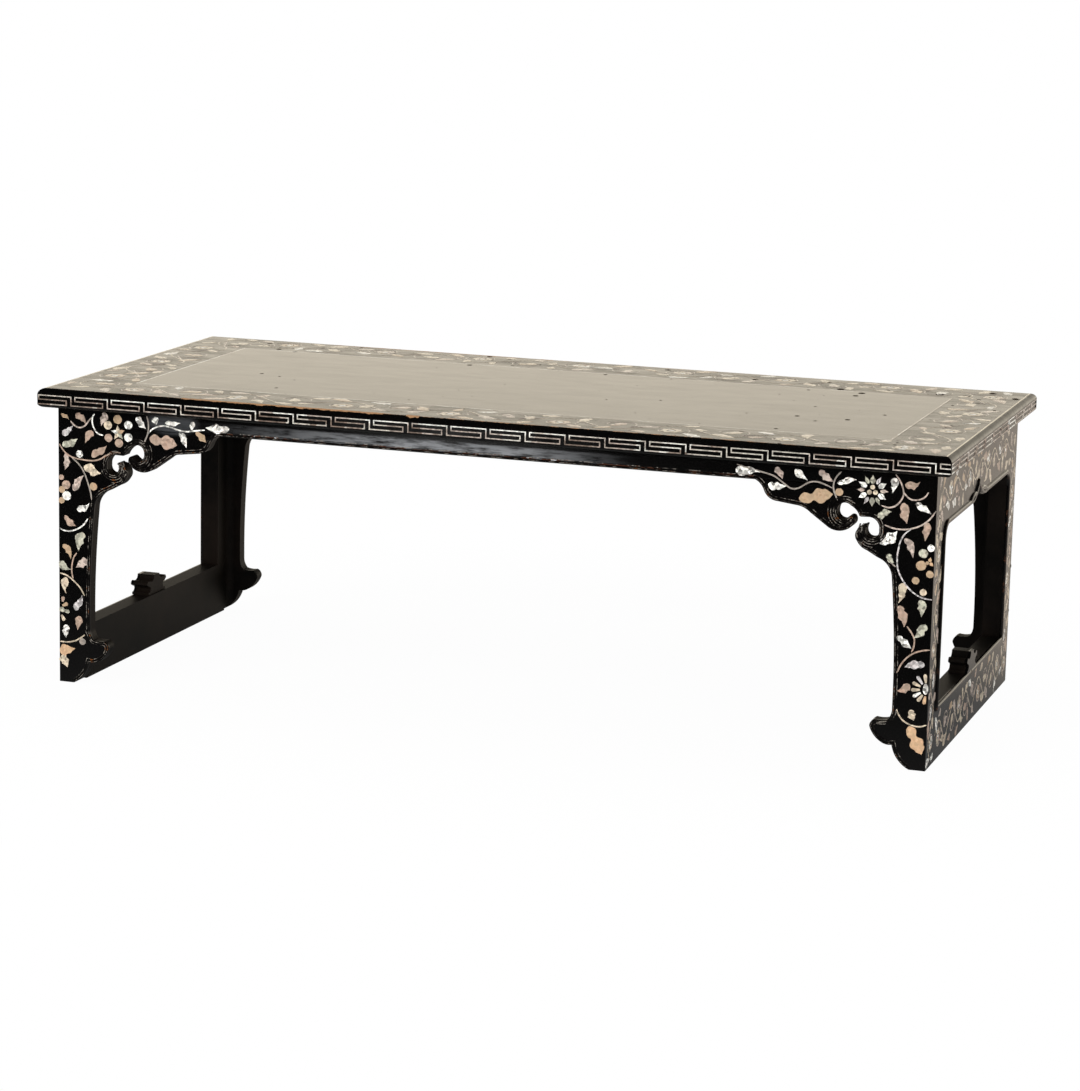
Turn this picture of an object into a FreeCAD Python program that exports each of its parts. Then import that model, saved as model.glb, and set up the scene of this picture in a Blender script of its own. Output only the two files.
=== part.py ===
import FreeCAD, Part

import math
import os
import re

import Sketcher
from FreeCAD import Vector

# Low kang table: a mitred frame-and-panel top on four L-section legs, with scrolled
# spandrels at the front and back and a beaded opening at each end.
# Frame: X along the length, Y to the back, Z up, origin on the floor under the centre.

# Driving dimensions in millimetres.
SIZES = {
    # The whole table
    "table_length": 960.0,
    "table_width": 440.0,
    "table_height": 313.0,
    "top_overhang": 16.0,
    # Top frame: moulded members, mitred at the corners
    "top_thickness": 20.0,
    "member_width": 75.0,
    "shoulder_height": 5.6,
    "shoulder_run": 6.5,
    "lower_height": 3.4,
    "lower_run": 5.5,
    "mitre_tenon_inset": 28.0,
    "mitre_tenon_width": 24.0,
    "mitre_tenon_thickness": 6.0,
    "mitre_tenon_cover": 7.0,
    "mitre_tenon_end": 14.0,
    # Floating board in the top frame
    "board_thickness": 12.0,
    "board_gap": 0.3,
    "tongue_length": 8.0,
    "tongue_thickness": 4.5,
    "tongue_cover": 3.5,
    "groove_depth": 9.0,
    # Battens dovetailed under the board
    "batten_width": 28.0,
    "batten_depth": 10.0,
    "batten_spacing": 250.0,
    "dovetail_height": 3.0,
    "dovetail_neck": 19.0,
    "dovetail_flare": 2.5,
    "batten_tenon_length": 15.0,
    "batten_tenon_width": 16.0,
    "batten_tenon_thickness": 5.0,
    "batten_tenon_rise": 2.0,
    # Legs
    "leg_width": 41.0,
    "leg_waist": 35.2,
    "stile_width": 42.0,
    "stile_thickness": 20.0,
    "wing_thickness": 13.0,
    "cove_radius": 8.0,
    "foot_height": 60.0,
    "foot_spread": 57.1,
    "foot_flat": 16.5,
    "taper_top": 190.0,
    "leg_tenon_across": 8.0,
    "leg_tenon_along": 14.0,
    "leg_tenon_setback": 3.0,
    "long_tenon_height": 8.0,
    "short_tenon_height": 5.5,
    # Long aprons and their scrolled spandrels
    "apron_depth": 18.5,
    "apron_edge_round": 2.5,
    "apron_tenon_length": 16.0,
    "apron_tenon_thickness": 5.0,
    "apron_tenon_height": 12.0,
    "spandrel_length": 139.0,
    "spandrel_drop": 84.5,
    "spline_thickness": 5.0,
    "spline_depth": 6.0,
    "spline_margin": 8.0,
    # Ends: apron with an ogee notch, base rail, ornament and edge bead
    "end_apron_depth": 58.0,
    "opening_corner": 14.0,
    "notch_width": 80.0,
    "notch_rise": 13.0,
    "base_rail_height": 57.0,
    "end_tenon_length": 20.0,
    "end_tenon_thickness": 8.0,
    "end_tenon_shoulder": 12.0,
    "bead_width": 5.0,
    "bead_height": 2.0,
    "bead_slope": 1.4,
    "ornament_width": 49.0,
    "ornament_height": 20.5,
    "ornament_tenon_width": 22.0,
    "ornament_tenon_depth": 10.0,
    # Shell inlay
    "shell_thickness": 0.6,
    "fret_pitch": 41.2,
    "fret_line": 1.1,
    "fret_end_margin": 1.0,
    "field_line": 1.5,
    "field_line_inset": 0.5,
    # Shared clearance of every hidden joint, and the overrun of every cut
    "joint_clearance": 0.15,
    "cut_overrun": 2.0,
}

# Derived places, written as expressions of the sizes
LEG_X = "(table_length / 2 - top_overhang)"
LEG_Y = "(table_width / 2 - top_overhang)"
UNDER_TOP = "(table_height - top_thickness)"
FIELD_X = "(table_length / 2 - member_width)"
FIELD_Y = "(table_width / 2 - member_width)"
BOARD_X = f"({FIELD_X} - board_gap)"
BOARD_Y = f"({FIELD_Y} - board_gap)"
BOARD_UNDER = "(table_height - board_thickness)"
TONGUE_TOP = "(table_height - tongue_cover)"
TONGUE_UNDER = f"({TONGUE_TOP} - tongue_thickness)"
LEG_INNER_X = f"({LEG_X} - leg_width)"
STILE_INNER_X = f"({LEG_X} - stile_thickness)"
STILE_INNER_Y = f"({LEG_Y} - stile_width)"
WING_BACK_Y = f"({LEG_Y} - wing_thickness)"
WING_MIDDLE_Y = f"({LEG_Y} - wing_thickness / 2)"
STILE_MIDDLE_X = f"({LEG_X} - stile_thickness / 2)"
APRON_UNDER = f"({UNDER_TOP} - apron_depth)"
END_OPENING_TOP = f"({UNDER_TOP} - end_apron_depth)"
MITRE_TENON_TOP = "(table_height - mitre_tenon_cover)"
MITRE_TENON_UNDER = f"({MITRE_TENON_TOP} - mitre_tenon_thickness)"

# Bow shares, an arc's sagitta over its chord: a quarter circle, and the soft shoulder
# and lower round of the top's edge
QUARTER_BOW_SHARE = (math.sqrt(2) - 1) / 2
SHOULDER_BOW_SHARE = 0.18
LOWER_BOW_SHARE = 0.13

# Length of the spline between spandrel and apron, as a share of the spandrel's
SPLINE_LENGTH_SHARE = 0.9

# Inner edge of the leg: hollow of the taper, and of the curve down to the foot
TAPER_BOW_SHARE = 0.014
INSTEP_BOW_SHARE = 0.10

# Leg foot, front view: distance in from the outer face as a share of foot_spread,
# height as a share of foot_height, and the bow share of the edge that follows.
FOOT_SHARES = [
    (0.69, 0.80, 0.06),
    (0.91, 0.79, -0.16),
    (1.00, 0.67, -0.10),
    (0.775, 0.41, -0.09),
    (0.60, 0.385, -0.12),
]

# Spandrel outline from the apron outwards: distance from the leg as a share of
# spandrel_length, depth below the apron as a share of spandrel_drop, bow share.
SPANDREL_SHARES = [
    (1.000, 0.000, 0.10),
    (0.934, 0.123, -0.13),
    (0.849, 0.231, 0.00),
    (0.705, 0.260, 0.09),
    (0.597, 0.334, 0.00),
    (0.466, 0.487, -0.18),
    (0.291, 0.445, -0.16),
    (0.280, 0.362, -0.33),
    (0.323, 0.350, 0.00),
    (0.350, 0.384, 0.26),
    (0.405, 0.280, 0.34),
    (0.310, 0.214, 0.10),
    (0.246, 0.327, 0.00),
    (0.237, 0.334, 0.00),
    (0.174, 0.331, 0.22),
    (0.103, 0.470, 0.33),
    (0.180, 0.557, 0.18),
    (0.191, 0.430, -0.33),
    (0.210, 0.432, -0.16),
    (0.260, 0.490, -0.17),
    (0.257, 0.620, -0.10),
    (0.183, 0.720, 0.00),
    (0.104, 0.792, 0.15),
]

# Half of the end ornament, from the base upwards: half width as a share of half of
# ornament_width, height as a share of ornament_height, bow share.
ORNAMENT_SHARES = [
    (0.86, 0.00, 0.00),
    (0.86, 0.14, 0.20),
    (0.63, 0.32, 0.20),
    (0.80, 0.46, 0.00),
    (1.00, 0.58, -0.30),
    (0.76, 0.75, 0.15),
    (0.33, 0.80, 0.10),
    (0.28, 1.00, 0.00),
]

# Ogee notch of the end opening, from back to front: distance from the middle as a
# share of half of notch_width, rise as a share of notch_rise, bow share.
NOTCH_SHARES = [
    (1.00, 0.00, 0.08),
    (0.32, 0.36, -0.07),
    (0.00, 1.00, -0.07),
    (-0.32, 0.36, 0.08),
    (-1.00, 0.00, 0.00),
]

# Key fret: line levels as shares of the flat edge band, turns as shares of a pitch
FRET_BOTTOM_SHARE = 0.07
FRET_MIDDLE_SHARE = 0.505
FRET_TOP_SHARE = 0.90
FRET_OUT_TURN_SHARE = 0.87
FRET_BACK_TURN_SHARE = 0.11
FRET_PHASE_SHARE = 0.097

doc = FreeCAD.newDocument("kang_table")
sheet = doc.addObject("Spreadsheet::Sheet", "Sizes")
for row, (name, size) in enumerate(SIZES.items(), start=1):
    sheet.set(f"A{row}", name)
    sheet.set(f"B{row}", str(size))
    sheet.setAlias(f"B{row}", name)
doc.recompute()


def linked(expression):
    """Write a size expression with the sheet's name before each alias."""
    return re.sub(r"\b([a-z]+_[a-z_]+)\b", r"Sizes.\1", str(expression))


def value(expression):
    """Work out a size expression from the sheet."""
    return float(sheet.evalExpression(linked(expression)))


def bind(item, **properties):
    """Bind each named property of an object to a size expression."""
    for name, expression in properties.items():
        item.setExpression(name, linked(expression))
    return item


def new_body(name):
    """Start a part body under its own name."""
    return doc.addObject("PartDesign::Body", name)


def new_sketch(body, name, role, offset="0"):
    """Attach a sketch to one of the body's own planes, moved along its normal."""
    sketch = body.newObject("Sketcher::SketchObject", name)
    plane = [item for item in body.Origin.OriginFeatures if item.Role == role][0]
    sketch.AttachmentSupport = (plane, [""])
    sketch.MapMode = "FlatFace"
    sketch.setExpression("AttachmentOffset.Base.z", linked(offset))
    return sketch


def edge_between(start, end, bow):
    """Line, or arc whose sagitta is bow times its chord, to the left if positive."""
    if not bow:
        return Part.LineSegment(start, end)
    along = end - start
    left = Vector(-along.y, along.x, 0)
    middle = start + along * 0.5 + left * bow
    return Part.Arc(end, middle, start) if bow > 0 else Part.Arc(start, middle, end)


def draw(sketch, outline, closed=True):
    """Draw a chain of lines and arcs whose corners and radii follow the sheet.

    outline holds (x, y) or (x, y, bow): expressions of a corner, and the bow share
    of the edge that leaves it.
    """
    corners = [(str(item[0]), str(item[1])) for item in outline]
    bows = [item[2] if len(item) > 2 else 0 for item in outline]
    places = [Vector(value(x), value(y), 0) for x, y in corners]
    edge_count = len(outline) if closed else len(outline) - 1
    first = sketch.GeometryCount
    constraints = []
    bindings = []
    for index in range(edge_count):
        following = (index + 1) % len(outline)
        bow = bows[index]
        sketch.addGeometry(edge_between(places[index], places[following], bow), False)
        start, end = (2, 1) if bow > 0 else (1, 2)
        geometry = first + index
        for axis, expression, place in zip(
            ("DistanceX", "DistanceY"), corners[index], places[index]
        ):
            constraints.append(Sketcher.Constraint(axis, -1, 1, geometry, start, place))
            bindings.append(expression)
        if closed or index < edge_count - 1:
            next_start = 2 if bows[following] > 0 else 1
            next_geometry = first + following
            constraints.append(
                Sketcher.Constraint("Coincident", geometry, end, next_geometry, next_start)
            )
            bindings.append(None)
        else:
            for axis, expression, place in zip(
                ("DistanceX", "DistanceY"), corners[following], places[following]
            ):
                constraints.append(Sketcher.Constraint(axis, -1, 1, geometry, end, place))
                bindings.append(expression)
        if bow:
            (x1, y1), (x2, y2) = corners[index], corners[following]
            chord = f"sqrt((({x2}) - ({x1})) ^ 2 + (({y2}) - ({y1})) ^ 2)"
            radius = f"{chord} * {(1 + 4 * bow ** 2) / (8 * abs(bow))}"
            constraints.append(Sketcher.Constraint("Radius", geometry, value(radius)))
            bindings.append(radius)
    numbers = sketch.addConstraint(constraints)
    for number, expression in zip(numbers, bindings):
        if expression and expression != "0":
            sketch.setExpression(f"Constraints[{number}]", linked(expression))
    return sketch


def rectangle(x_low, x_high, y_low, y_high):
    """Corners of a rectangle, anticlockwise."""
    return [(x_low, y_low), (x_high, y_low), (x_high, y_high), (x_low, y_high)]


def pad(body, sketch, length, middle=False, back=False):
    """Pad a sketch to a length, about its plane or backwards if asked."""
    feature = body.newObject("PartDesign::Pad", f"{sketch.Name}_pad")
    feature.Profile = sketch
    feature.Midplane = middle
    feature.Reversed = back
    bind(feature, Length=length)
    doc.recompute()
    return feature


def pocket(body, sketch, length, middle=False, back=False):
    """Pocket a sketch and make sure that it has cut something."""
    before = body.Shape.Volume
    feature = body.newObject("PartDesign::Pocket", f"{sketch.Name}_pocket")
    feature.Profile = sketch
    feature.Midplane = middle
    feature.Reversed = back
    bind(feature, Length=length)
    doc.recompute()
    if not body.Shape.Volume < before:
        raise RuntimeError(f"{feature.Name} cuts nothing")
    return feature


def box_pad(body, name, x, y, z):
    """Add a rectangular block given its low and high expressions on each axis."""
    sketch = new_sketch(body, name, "XY_Plane", z[0])
    draw(sketch, rectangle(*x, *y))
    return pad(body, sketch, f"({z[1]}) - ({z[0]})")


def box_pocket(body, name, x, y, z):
    """Cut a rectangular mortise given its low and high expressions on each axis."""
    sketch = new_sketch(body, name, "XY_Plane", z[0])
    draw(sketch, rectangle(*x, *y))
    return pocket(body, sketch, f"({z[1]}) - ({z[0]})", back=True)


def mirrored(source, name, normal):
    """Mirror a finished sub-part through the table's middle."""
    twin = doc.addObject("Part::Mirroring", name)
    twin.Source = source
    twin.Normal = normal
    return twin


def spread(span, clearance="joint_clearance"):
    """Widen a low and high expression by the joint clearance on both sides."""
    return f"{span[0]} - {clearance}", f"{span[1]} + {clearance}"


# Top frame: edge moulding and panel groove, shared by all four members
def member_profile(half_span):
    """Section of a member whose outer edge is at minus half_span."""
    outer = f"-{half_span}"
    inner = f"-{half_span} + member_width"
    groove_under = f"{TONGUE_UNDER} - joint_clearance"
    groove_top = f"{TONGUE_TOP} + joint_clearance"
    return [
        (f"{outer} + lower_run", UNDER_TOP),
        (inner, UNDER_TOP),
        (inner, groove_under),
        (f"{inner} - groove_depth", groove_under),
        (f"{inner} - groove_depth", groove_top),
        (inner, groove_top),
        (inner, "table_height"),
        (f"{outer} + shoulder_run", "table_height", -SHOULDER_BOW_SHARE),
        (outer, "table_height - shoulder_height"),
        (outer, f"{UNDER_TOP} + lower_height", -LOWER_BOW_SHARE),
    ]


def mirrored_outline(outline):
    """The same chain of edges on the other side of the middle, in the same turning sense."""
    corners = [(f"-({x})", y) for x, y, *_ in outline]
    bows = [item[2] if len(item) > 2 else 0 for item in outline]
    # Run backwards, each corner is left by the edge that used to reach it
    return [(*corner, bow) for corner, bow in zip(corners[::-1], bows[-2::-1] + bows[-1:])]


def fret_reach(length):
    """Low and high ends of the fret on an edge of this length."""
    return f"-({length} / 2 - fret_end_margin)", f"{length} / 2 - fret_end_margin"


HALF_LENGTH = "(table_length / 2)"
HALF_WIDTH = "(table_width / 2)"
MITRE_TENON_Y = (
    f"-{HALF_WIDTH} + mitre_tenon_inset",
    f"-{HALF_WIDTH} + mitre_tenon_inset + mitre_tenon_width",
)
MITRE_TENON_X = (
    f"{FIELD_X} + member_width - mitre_tenon_inset - mitre_tenon_width - cut_overrun",
    f"{HALF_LENGTH} - mitre_tenon_end",
)
MITRE_TENON_Z = (MITRE_TENON_UNDER, MITRE_TENON_TOP)
LONG_TENON_X = (f"{LEG_INNER_X} + leg_tenon_setback",
                f"{LEG_INNER_X} + leg_tenon_setback + leg_tenon_along")
LONG_TENON_Y = (f"-{LEG_Y} + leg_tenon_setback",
                f"-{LEG_Y} + leg_tenon_setback + leg_tenon_across")
SHORT_TENON_X = (f"{LEG_X} - leg_tenon_setback - leg_tenon_across",
                 f"{LEG_X} - leg_tenon_setback")
SHORT_TENON_Y = (f"-{STILE_INNER_Y} - leg_tenon_setback - leg_tenon_along",
                 f"-{STILE_INNER_Y} - leg_tenon_setback")
BATTEN_TENON_Z = (f"{UNDER_TOP} + batten_tenon_rise",
                  f"{UNDER_TOP} + batten_tenon_rise + batten_tenon_thickness")
BATTEN_PLACES = ("-batten_spacing", "0", "batten_spacing")
FRET_BAND = "(top_thickness - lower_height - shoulder_height)"
FRET_LEVELS = [f"({UNDER_TOP} + lower_height + {FRET_BAND} * {share})"
               for share in (FRET_BOTTOM_SHARE, FRET_MIDDLE_SHARE, FRET_TOP_SHARE)]
FRET_CHANNEL_Z = (f"{FRET_LEVELS[0]} - fret_line / 2", f"{FRET_LEVELS[2]} + fret_line / 2")


def flipped(span):
    """The same span on the other side of the middle."""
    return f"-({span[1]})", f"-({span[0]})"


def long_member(name):
    """Front member: moulded edge, panel groove, mitres with tenons, mortises below."""
    body = new_body(name)
    profile = draw(new_sketch(body, f"{name}_profile", "YZ_Plane"), member_profile(HALF_WIDTH))
    pad(body, profile, "table_length", middle=True)
    mitre = [
        (f"{FIELD_X} - cut_overrun", f"-{FIELD_Y} + cut_overrun"),
        (f"{HALF_LENGTH} + cut_overrun", f"-{HALF_WIDTH} - cut_overrun"),
        (f"{HALF_LENGTH} + cut_overrun", f"-{FIELD_Y} + cut_overrun"),
    ]
    for side, end in ((1, "right"), (-1, "left")):
        waste = new_sketch(body, f"{name}_mitre_{end}", "XY_Plane", f"{UNDER_TOP} - cut_overrun")
        draw(waste, mitre if side > 0 else mirrored_outline(mitre))
        pocket(body, waste, "top_thickness + 2 * cut_overrun", back=True)
        mirror = (lambda span: span) if side > 0 else flipped
        box_pad(body, f"{name}_tenon_{end}", mirror(MITRE_TENON_X), MITRE_TENON_Y, MITRE_TENON_Z)
        box_pocket(
            body, f"{name}_leg_mortise_{end}",
            spread(mirror(LONG_TENON_X)), spread(LONG_TENON_Y),
            (f"{UNDER_TOP} - cut_overrun", f"{UNDER_TOP} + long_tenon_height + joint_clearance"),
        )
    for number, place in enumerate(BATTEN_PLACES):
        box_pocket(
            body, f"{name}_batten_mortise_{number}",
            spread((f"{place} - batten_tenon_width / 2", f"{place} + batten_tenon_width / 2")),
            (f"-{FIELD_Y} - batten_tenon_length - joint_clearance",
             f"-{FIELD_Y} + cut_overrun"),
            spread(BATTEN_TENON_Z),
        )
    box_pocket(
        body, f"{name}_fret_channel", fret_reach("table_length"),
        (f"-{HALF_WIDTH} - cut_overrun", f"-{HALF_WIDTH} + shell_thickness"), FRET_CHANNEL_Z,
    )
    return body


def short_member(name):
    """Right member: the same moulding, with mortises for the long members' tenons."""
    body = new_body(name)
    profile = mirrored_outline(member_profile(HALF_LENGTH))
    sketch = draw(new_sketch(body, f"{name}_profile", "XZ_Plane"), profile)
    pad(body, sketch, "table_width", middle=True)
    for side, end in ((-1, "front"), (1, "back")):
        waste = new_sketch(body, f"{name}_mitre_{end}", "XY_Plane", f"{UNDER_TOP} - cut_overrun")
        corners = [
            (f"{FIELD_X} - cut_overrun", f"{side} * ({FIELD_Y} - cut_overrun)"),
            (f"{HALF_LENGTH} + cut_overrun", f"{side} * ({HALF_WIDTH} + cut_overrun)"),
            (f"{FIELD_X} - cut_overrun", f"{side} * ({HALF_WIDTH} + cut_overrun)"),
        ]
        draw(waste, corners if side > 0 else corners[::-1])
        pocket(body, waste, "top_thickness + 2 * cut_overrun", back=True)
        mirror = (lambda span: span) if side < 0 else flipped
        box_pocket(
            body, f"{name}_mortise_{end}",
            (MITRE_TENON_X[0], f"{MITRE_TENON_X[1]} + joint_clearance"),
            spread(mirror(MITRE_TENON_Y)), spread(MITRE_TENON_Z),
        )
        box_pocket(
            body, f"{name}_leg_mortise_{end}",
            spread(SHORT_TENON_X), spread(mirror(SHORT_TENON_Y)),
            (f"{UNDER_TOP} - cut_overrun", f"{UNDER_TOP} + short_tenon_height + joint_clearance"),
        )
    box_pocket(
        body, f"{name}_fret_channel",
        (f"{HALF_LENGTH} - shell_thickness", f"{HALF_LENGTH} + cut_overrun"),
        fret_reach("table_width"), FRET_CHANNEL_Z,
    )
    return body


# Key fret: a run of shell units, flush with the flat band of the moulded edge
def fret_unit():
    """Outline of one unit, from beside one upright to the end of the next."""
    pitch, line = value("fret_pitch"), value("fret_line") / 2
    low, middle, high = (value(level) for level in FRET_LEVELS)
    out_turn, back_turn = pitch * FRET_OUT_TURN_SHARE, pitch * FRET_BACK_TURN_SHARE
    return [
        (line, low - line), (out_turn + line, low - line), (out_turn + line, middle + line),
        (back_turn + line, middle + line), (back_turn + line, high - line),
        (pitch - line, high - line), (pitch - line, low - line), (pitch + line, low - line),
        (pitch + line, high + line), (back_turn - line, high + line),
        (back_turn - line, middle - line), (out_turn - line, middle - line),
        (out_turn - line, low + line), (line, low + line),
    ]


def fret_run(name, span, phase_share):
    """A run of fret units centred on an edge of this length, on the plane y = 0.

    The solids lie at y from 0 to the shell's thickness, and the run is clipped at
    both ends by the end margin.
    """
    half = value(f"({span}) / 2 - fret_end_margin")
    pitch, depth = value("fret_pitch"), value("shell_thickness")
    start = -half - pitch * phase_share
    clip = Part.makeBox(2 * half, depth, value("table_height"), Vector(-half, 0, 0))
    units = []
    for number in range(math.ceil((half - start) / pitch)):
        shift = start + number * pitch
        corners = [Vector(x + shift, 0, z) for x, z in fret_unit()]
        strip = Part.Face(Part.makePolygon(corners + corners[:1])).extrude(Vector(0, depth, 0))
        if shift < -half or shift + pitch + value("fret_line") / 2 > half:
            units.extend(strip.common(clip).Solids)
        else:
            units.append(strip)
    run = doc.addObject("Part::Feature", name)
    run.Shape = Part.makeCompound(units)
    return run


# Floating board with a tongue all round and dovetail housings underneath
DOVETAIL = [
    ("-dovetail_neck / 2", BOARD_UNDER),
    ("dovetail_neck / 2", BOARD_UNDER),
    ("dovetail_neck / 2 + dovetail_flare", f"{BOARD_UNDER} + dovetail_height"),
    ("-dovetail_neck / 2 - dovetail_flare", f"{BOARD_UNDER} + dovetail_height"),
]


def top_board(name):
    """Board flush with the frame, held in the groove by its tongue."""
    body = new_body(name)
    box_pad(body, f"{name}_field", (f"-{BOARD_X}", BOARD_X), (f"-{BOARD_Y}", BOARD_Y),
            (BOARD_UNDER, "table_height"))
    box_pad(body, f"{name}_tongue",
            (f"-{BOARD_X} - tongue_length", f"{BOARD_X} + tongue_length"),
            (f"-{BOARD_Y} - tongue_length", f"{BOARD_Y} + tongue_length"),
            (TONGUE_UNDER, TONGUE_TOP))
    for number, place in enumerate(BATTEN_PLACES):
        housing = new_sketch(body, f"{name}_housing_{number}", "XZ_Plane")
        wide = [
            (f"{place} + ({x}) {'-' if index in (0, 3) else '+'} joint_clearance",
             f"{z} {'- cut_overrun' if index < 2 else '+ joint_clearance'}")
            for index, (x, z) in enumerate(DOVETAIL)
        ]
        draw(housing, wide)
        pocket(body, housing, f"2 * {BOARD_Y}", middle=True)
    return body


def field_line(name):
    """Thin shell line framing the plain field, as four strips butted at the corners."""
    outer_x = f"{BOARD_X} - field_line_inset"
    outer_y = f"{BOARD_Y} - field_line_inset"
    strips = []
    for label, low_x, low_y, run_x, run_y in (
        ("front", f"-({outer_x})", f"-({outer_y})", f"2 * ({outer_x})", "field_line"),
        ("back", f"-({outer_x})", f"{outer_y} - field_line", f"2 * ({outer_x})", "field_line"),
        ("left", f"-({outer_x})", f"-({outer_y}) + field_line", "field_line",
         f"2 * ({outer_y} - field_line)"),
        ("right", f"{outer_x} - field_line", f"-({outer_y}) + field_line", "field_line",
         f"2 * ({outer_y} - field_line)"),
    ):
        strip = doc.addObject("Part::Box", f"{name}_{label}")
        bind(strip, Length=run_x, Width=run_y, Height="shell_thickness")
        strip.setExpression("Placement.Base.x", linked(low_x))
        strip.setExpression("Placement.Base.y", linked(low_y))
        strip.setExpression("Placement.Base.z", linked("table_height - shell_thickness"))
        strips.append(strip)
    frame = doc.addObject("Part::Compound", name)
    frame.Links = strips
    return frame


def batten(name, place):
    """Batten across the underside: dovetail into the board, tenons into the members."""
    body = new_body(name)
    half = "batten_width / 2"
    under = f"{BOARD_UNDER} - batten_depth"
    outline = [
        (f"{place} - {half}", under),
        (f"{place} + {half}", under),
        (f"{place} + {half}", BOARD_UNDER),
        (f"{place} + ({DOVETAIL[1][0]})", BOARD_UNDER),
        (f"{place} + ({DOVETAIL[2][0]})", DOVETAIL[2][1]),
        (f"{place} + ({DOVETAIL[3][0]})", DOVETAIL[3][1]),
        (f"{place} + ({DOVETAIL[0][0]})", BOARD_UNDER),
        (f"{place} - {half}", BOARD_UNDER),
    ]
    sketch = draw(new_sketch(body, f"{name}_profile", "XZ_Plane"), outline)
    pad(body, sketch, f"2 * {BOARD_Y}", middle=True)
    reach = f"{FIELD_Y} + batten_tenon_length"
    box_pad(body, f"{name}_tenons",
            (f"{place} - batten_tenon_width / 2", f"{place} + batten_tenon_width / 2"),
            (f"-({reach})", reach), BATTEN_TENON_Z)
    return body


# Legs: L-shaped in plan, with a spurred foot sawn into the front wing
APRON_TENON_Z = (f"{APRON_UNDER} + (apron_depth - apron_tenon_height) / 2",
                 f"{APRON_UNDER} + (apron_depth + apron_tenon_height) / 2")
APRON_TENON_Y = (f"-{WING_MIDDLE_Y} - apron_tenon_thickness / 2",
                 f"-{WING_MIDDLE_Y} + apron_tenon_thickness / 2")
APRON_TENON_X = (f"{LEG_INNER_X} - cut_overrun", f"{LEG_INNER_X} + apron_tenon_length")
SPLINE_Y = (f"-{WING_MIDDLE_Y} - spline_thickness / 2",
            f"-{WING_MIDDLE_Y} + spline_thickness / 2")
LEG_SPLINE_Z = (f"{APRON_UNDER} - spandrel_drop + spline_margin",
                f"{APRON_UNDER} - spline_margin")
APRON_SPLINE_X = (f"{LEG_INNER_X} - spandrel_length * {SPLINE_LENGTH_SHARE}",
                  f"{LEG_INNER_X} - spline_margin")
END_TENON_X = (f"{STILE_MIDDLE_X} - end_tenon_thickness / 2",
               f"{STILE_MIDDLE_X} + end_tenon_thickness / 2")
END_TENON_Y = (f"-{STILE_INNER_Y} - end_tenon_length", f"-{STILE_INNER_Y} + cut_overrun")
END_APRON_TENON_Z = (f"{END_OPENING_TOP} + end_tenon_shoulder / 2",
                     f"{UNDER_TOP} - end_tenon_shoulder")
BASE_TENON_Z = ("end_tenon_shoulder", "base_rail_height - end_tenon_shoulder")


def bead_section(body, name, role, offset, low, high):
    """Section of the bead on the end's face, between two places along it.

    Its top is flat between two slopes.
    """
    sketch = new_sketch(body, name, role, offset)
    top = f"{LEG_X} + bead_height"
    return draw(sketch, [
        (LEG_X, low), (top, f"{low} + bead_slope"), (top, f"{high} - bead_slope"), (LEG_X, high),
    ])


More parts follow.
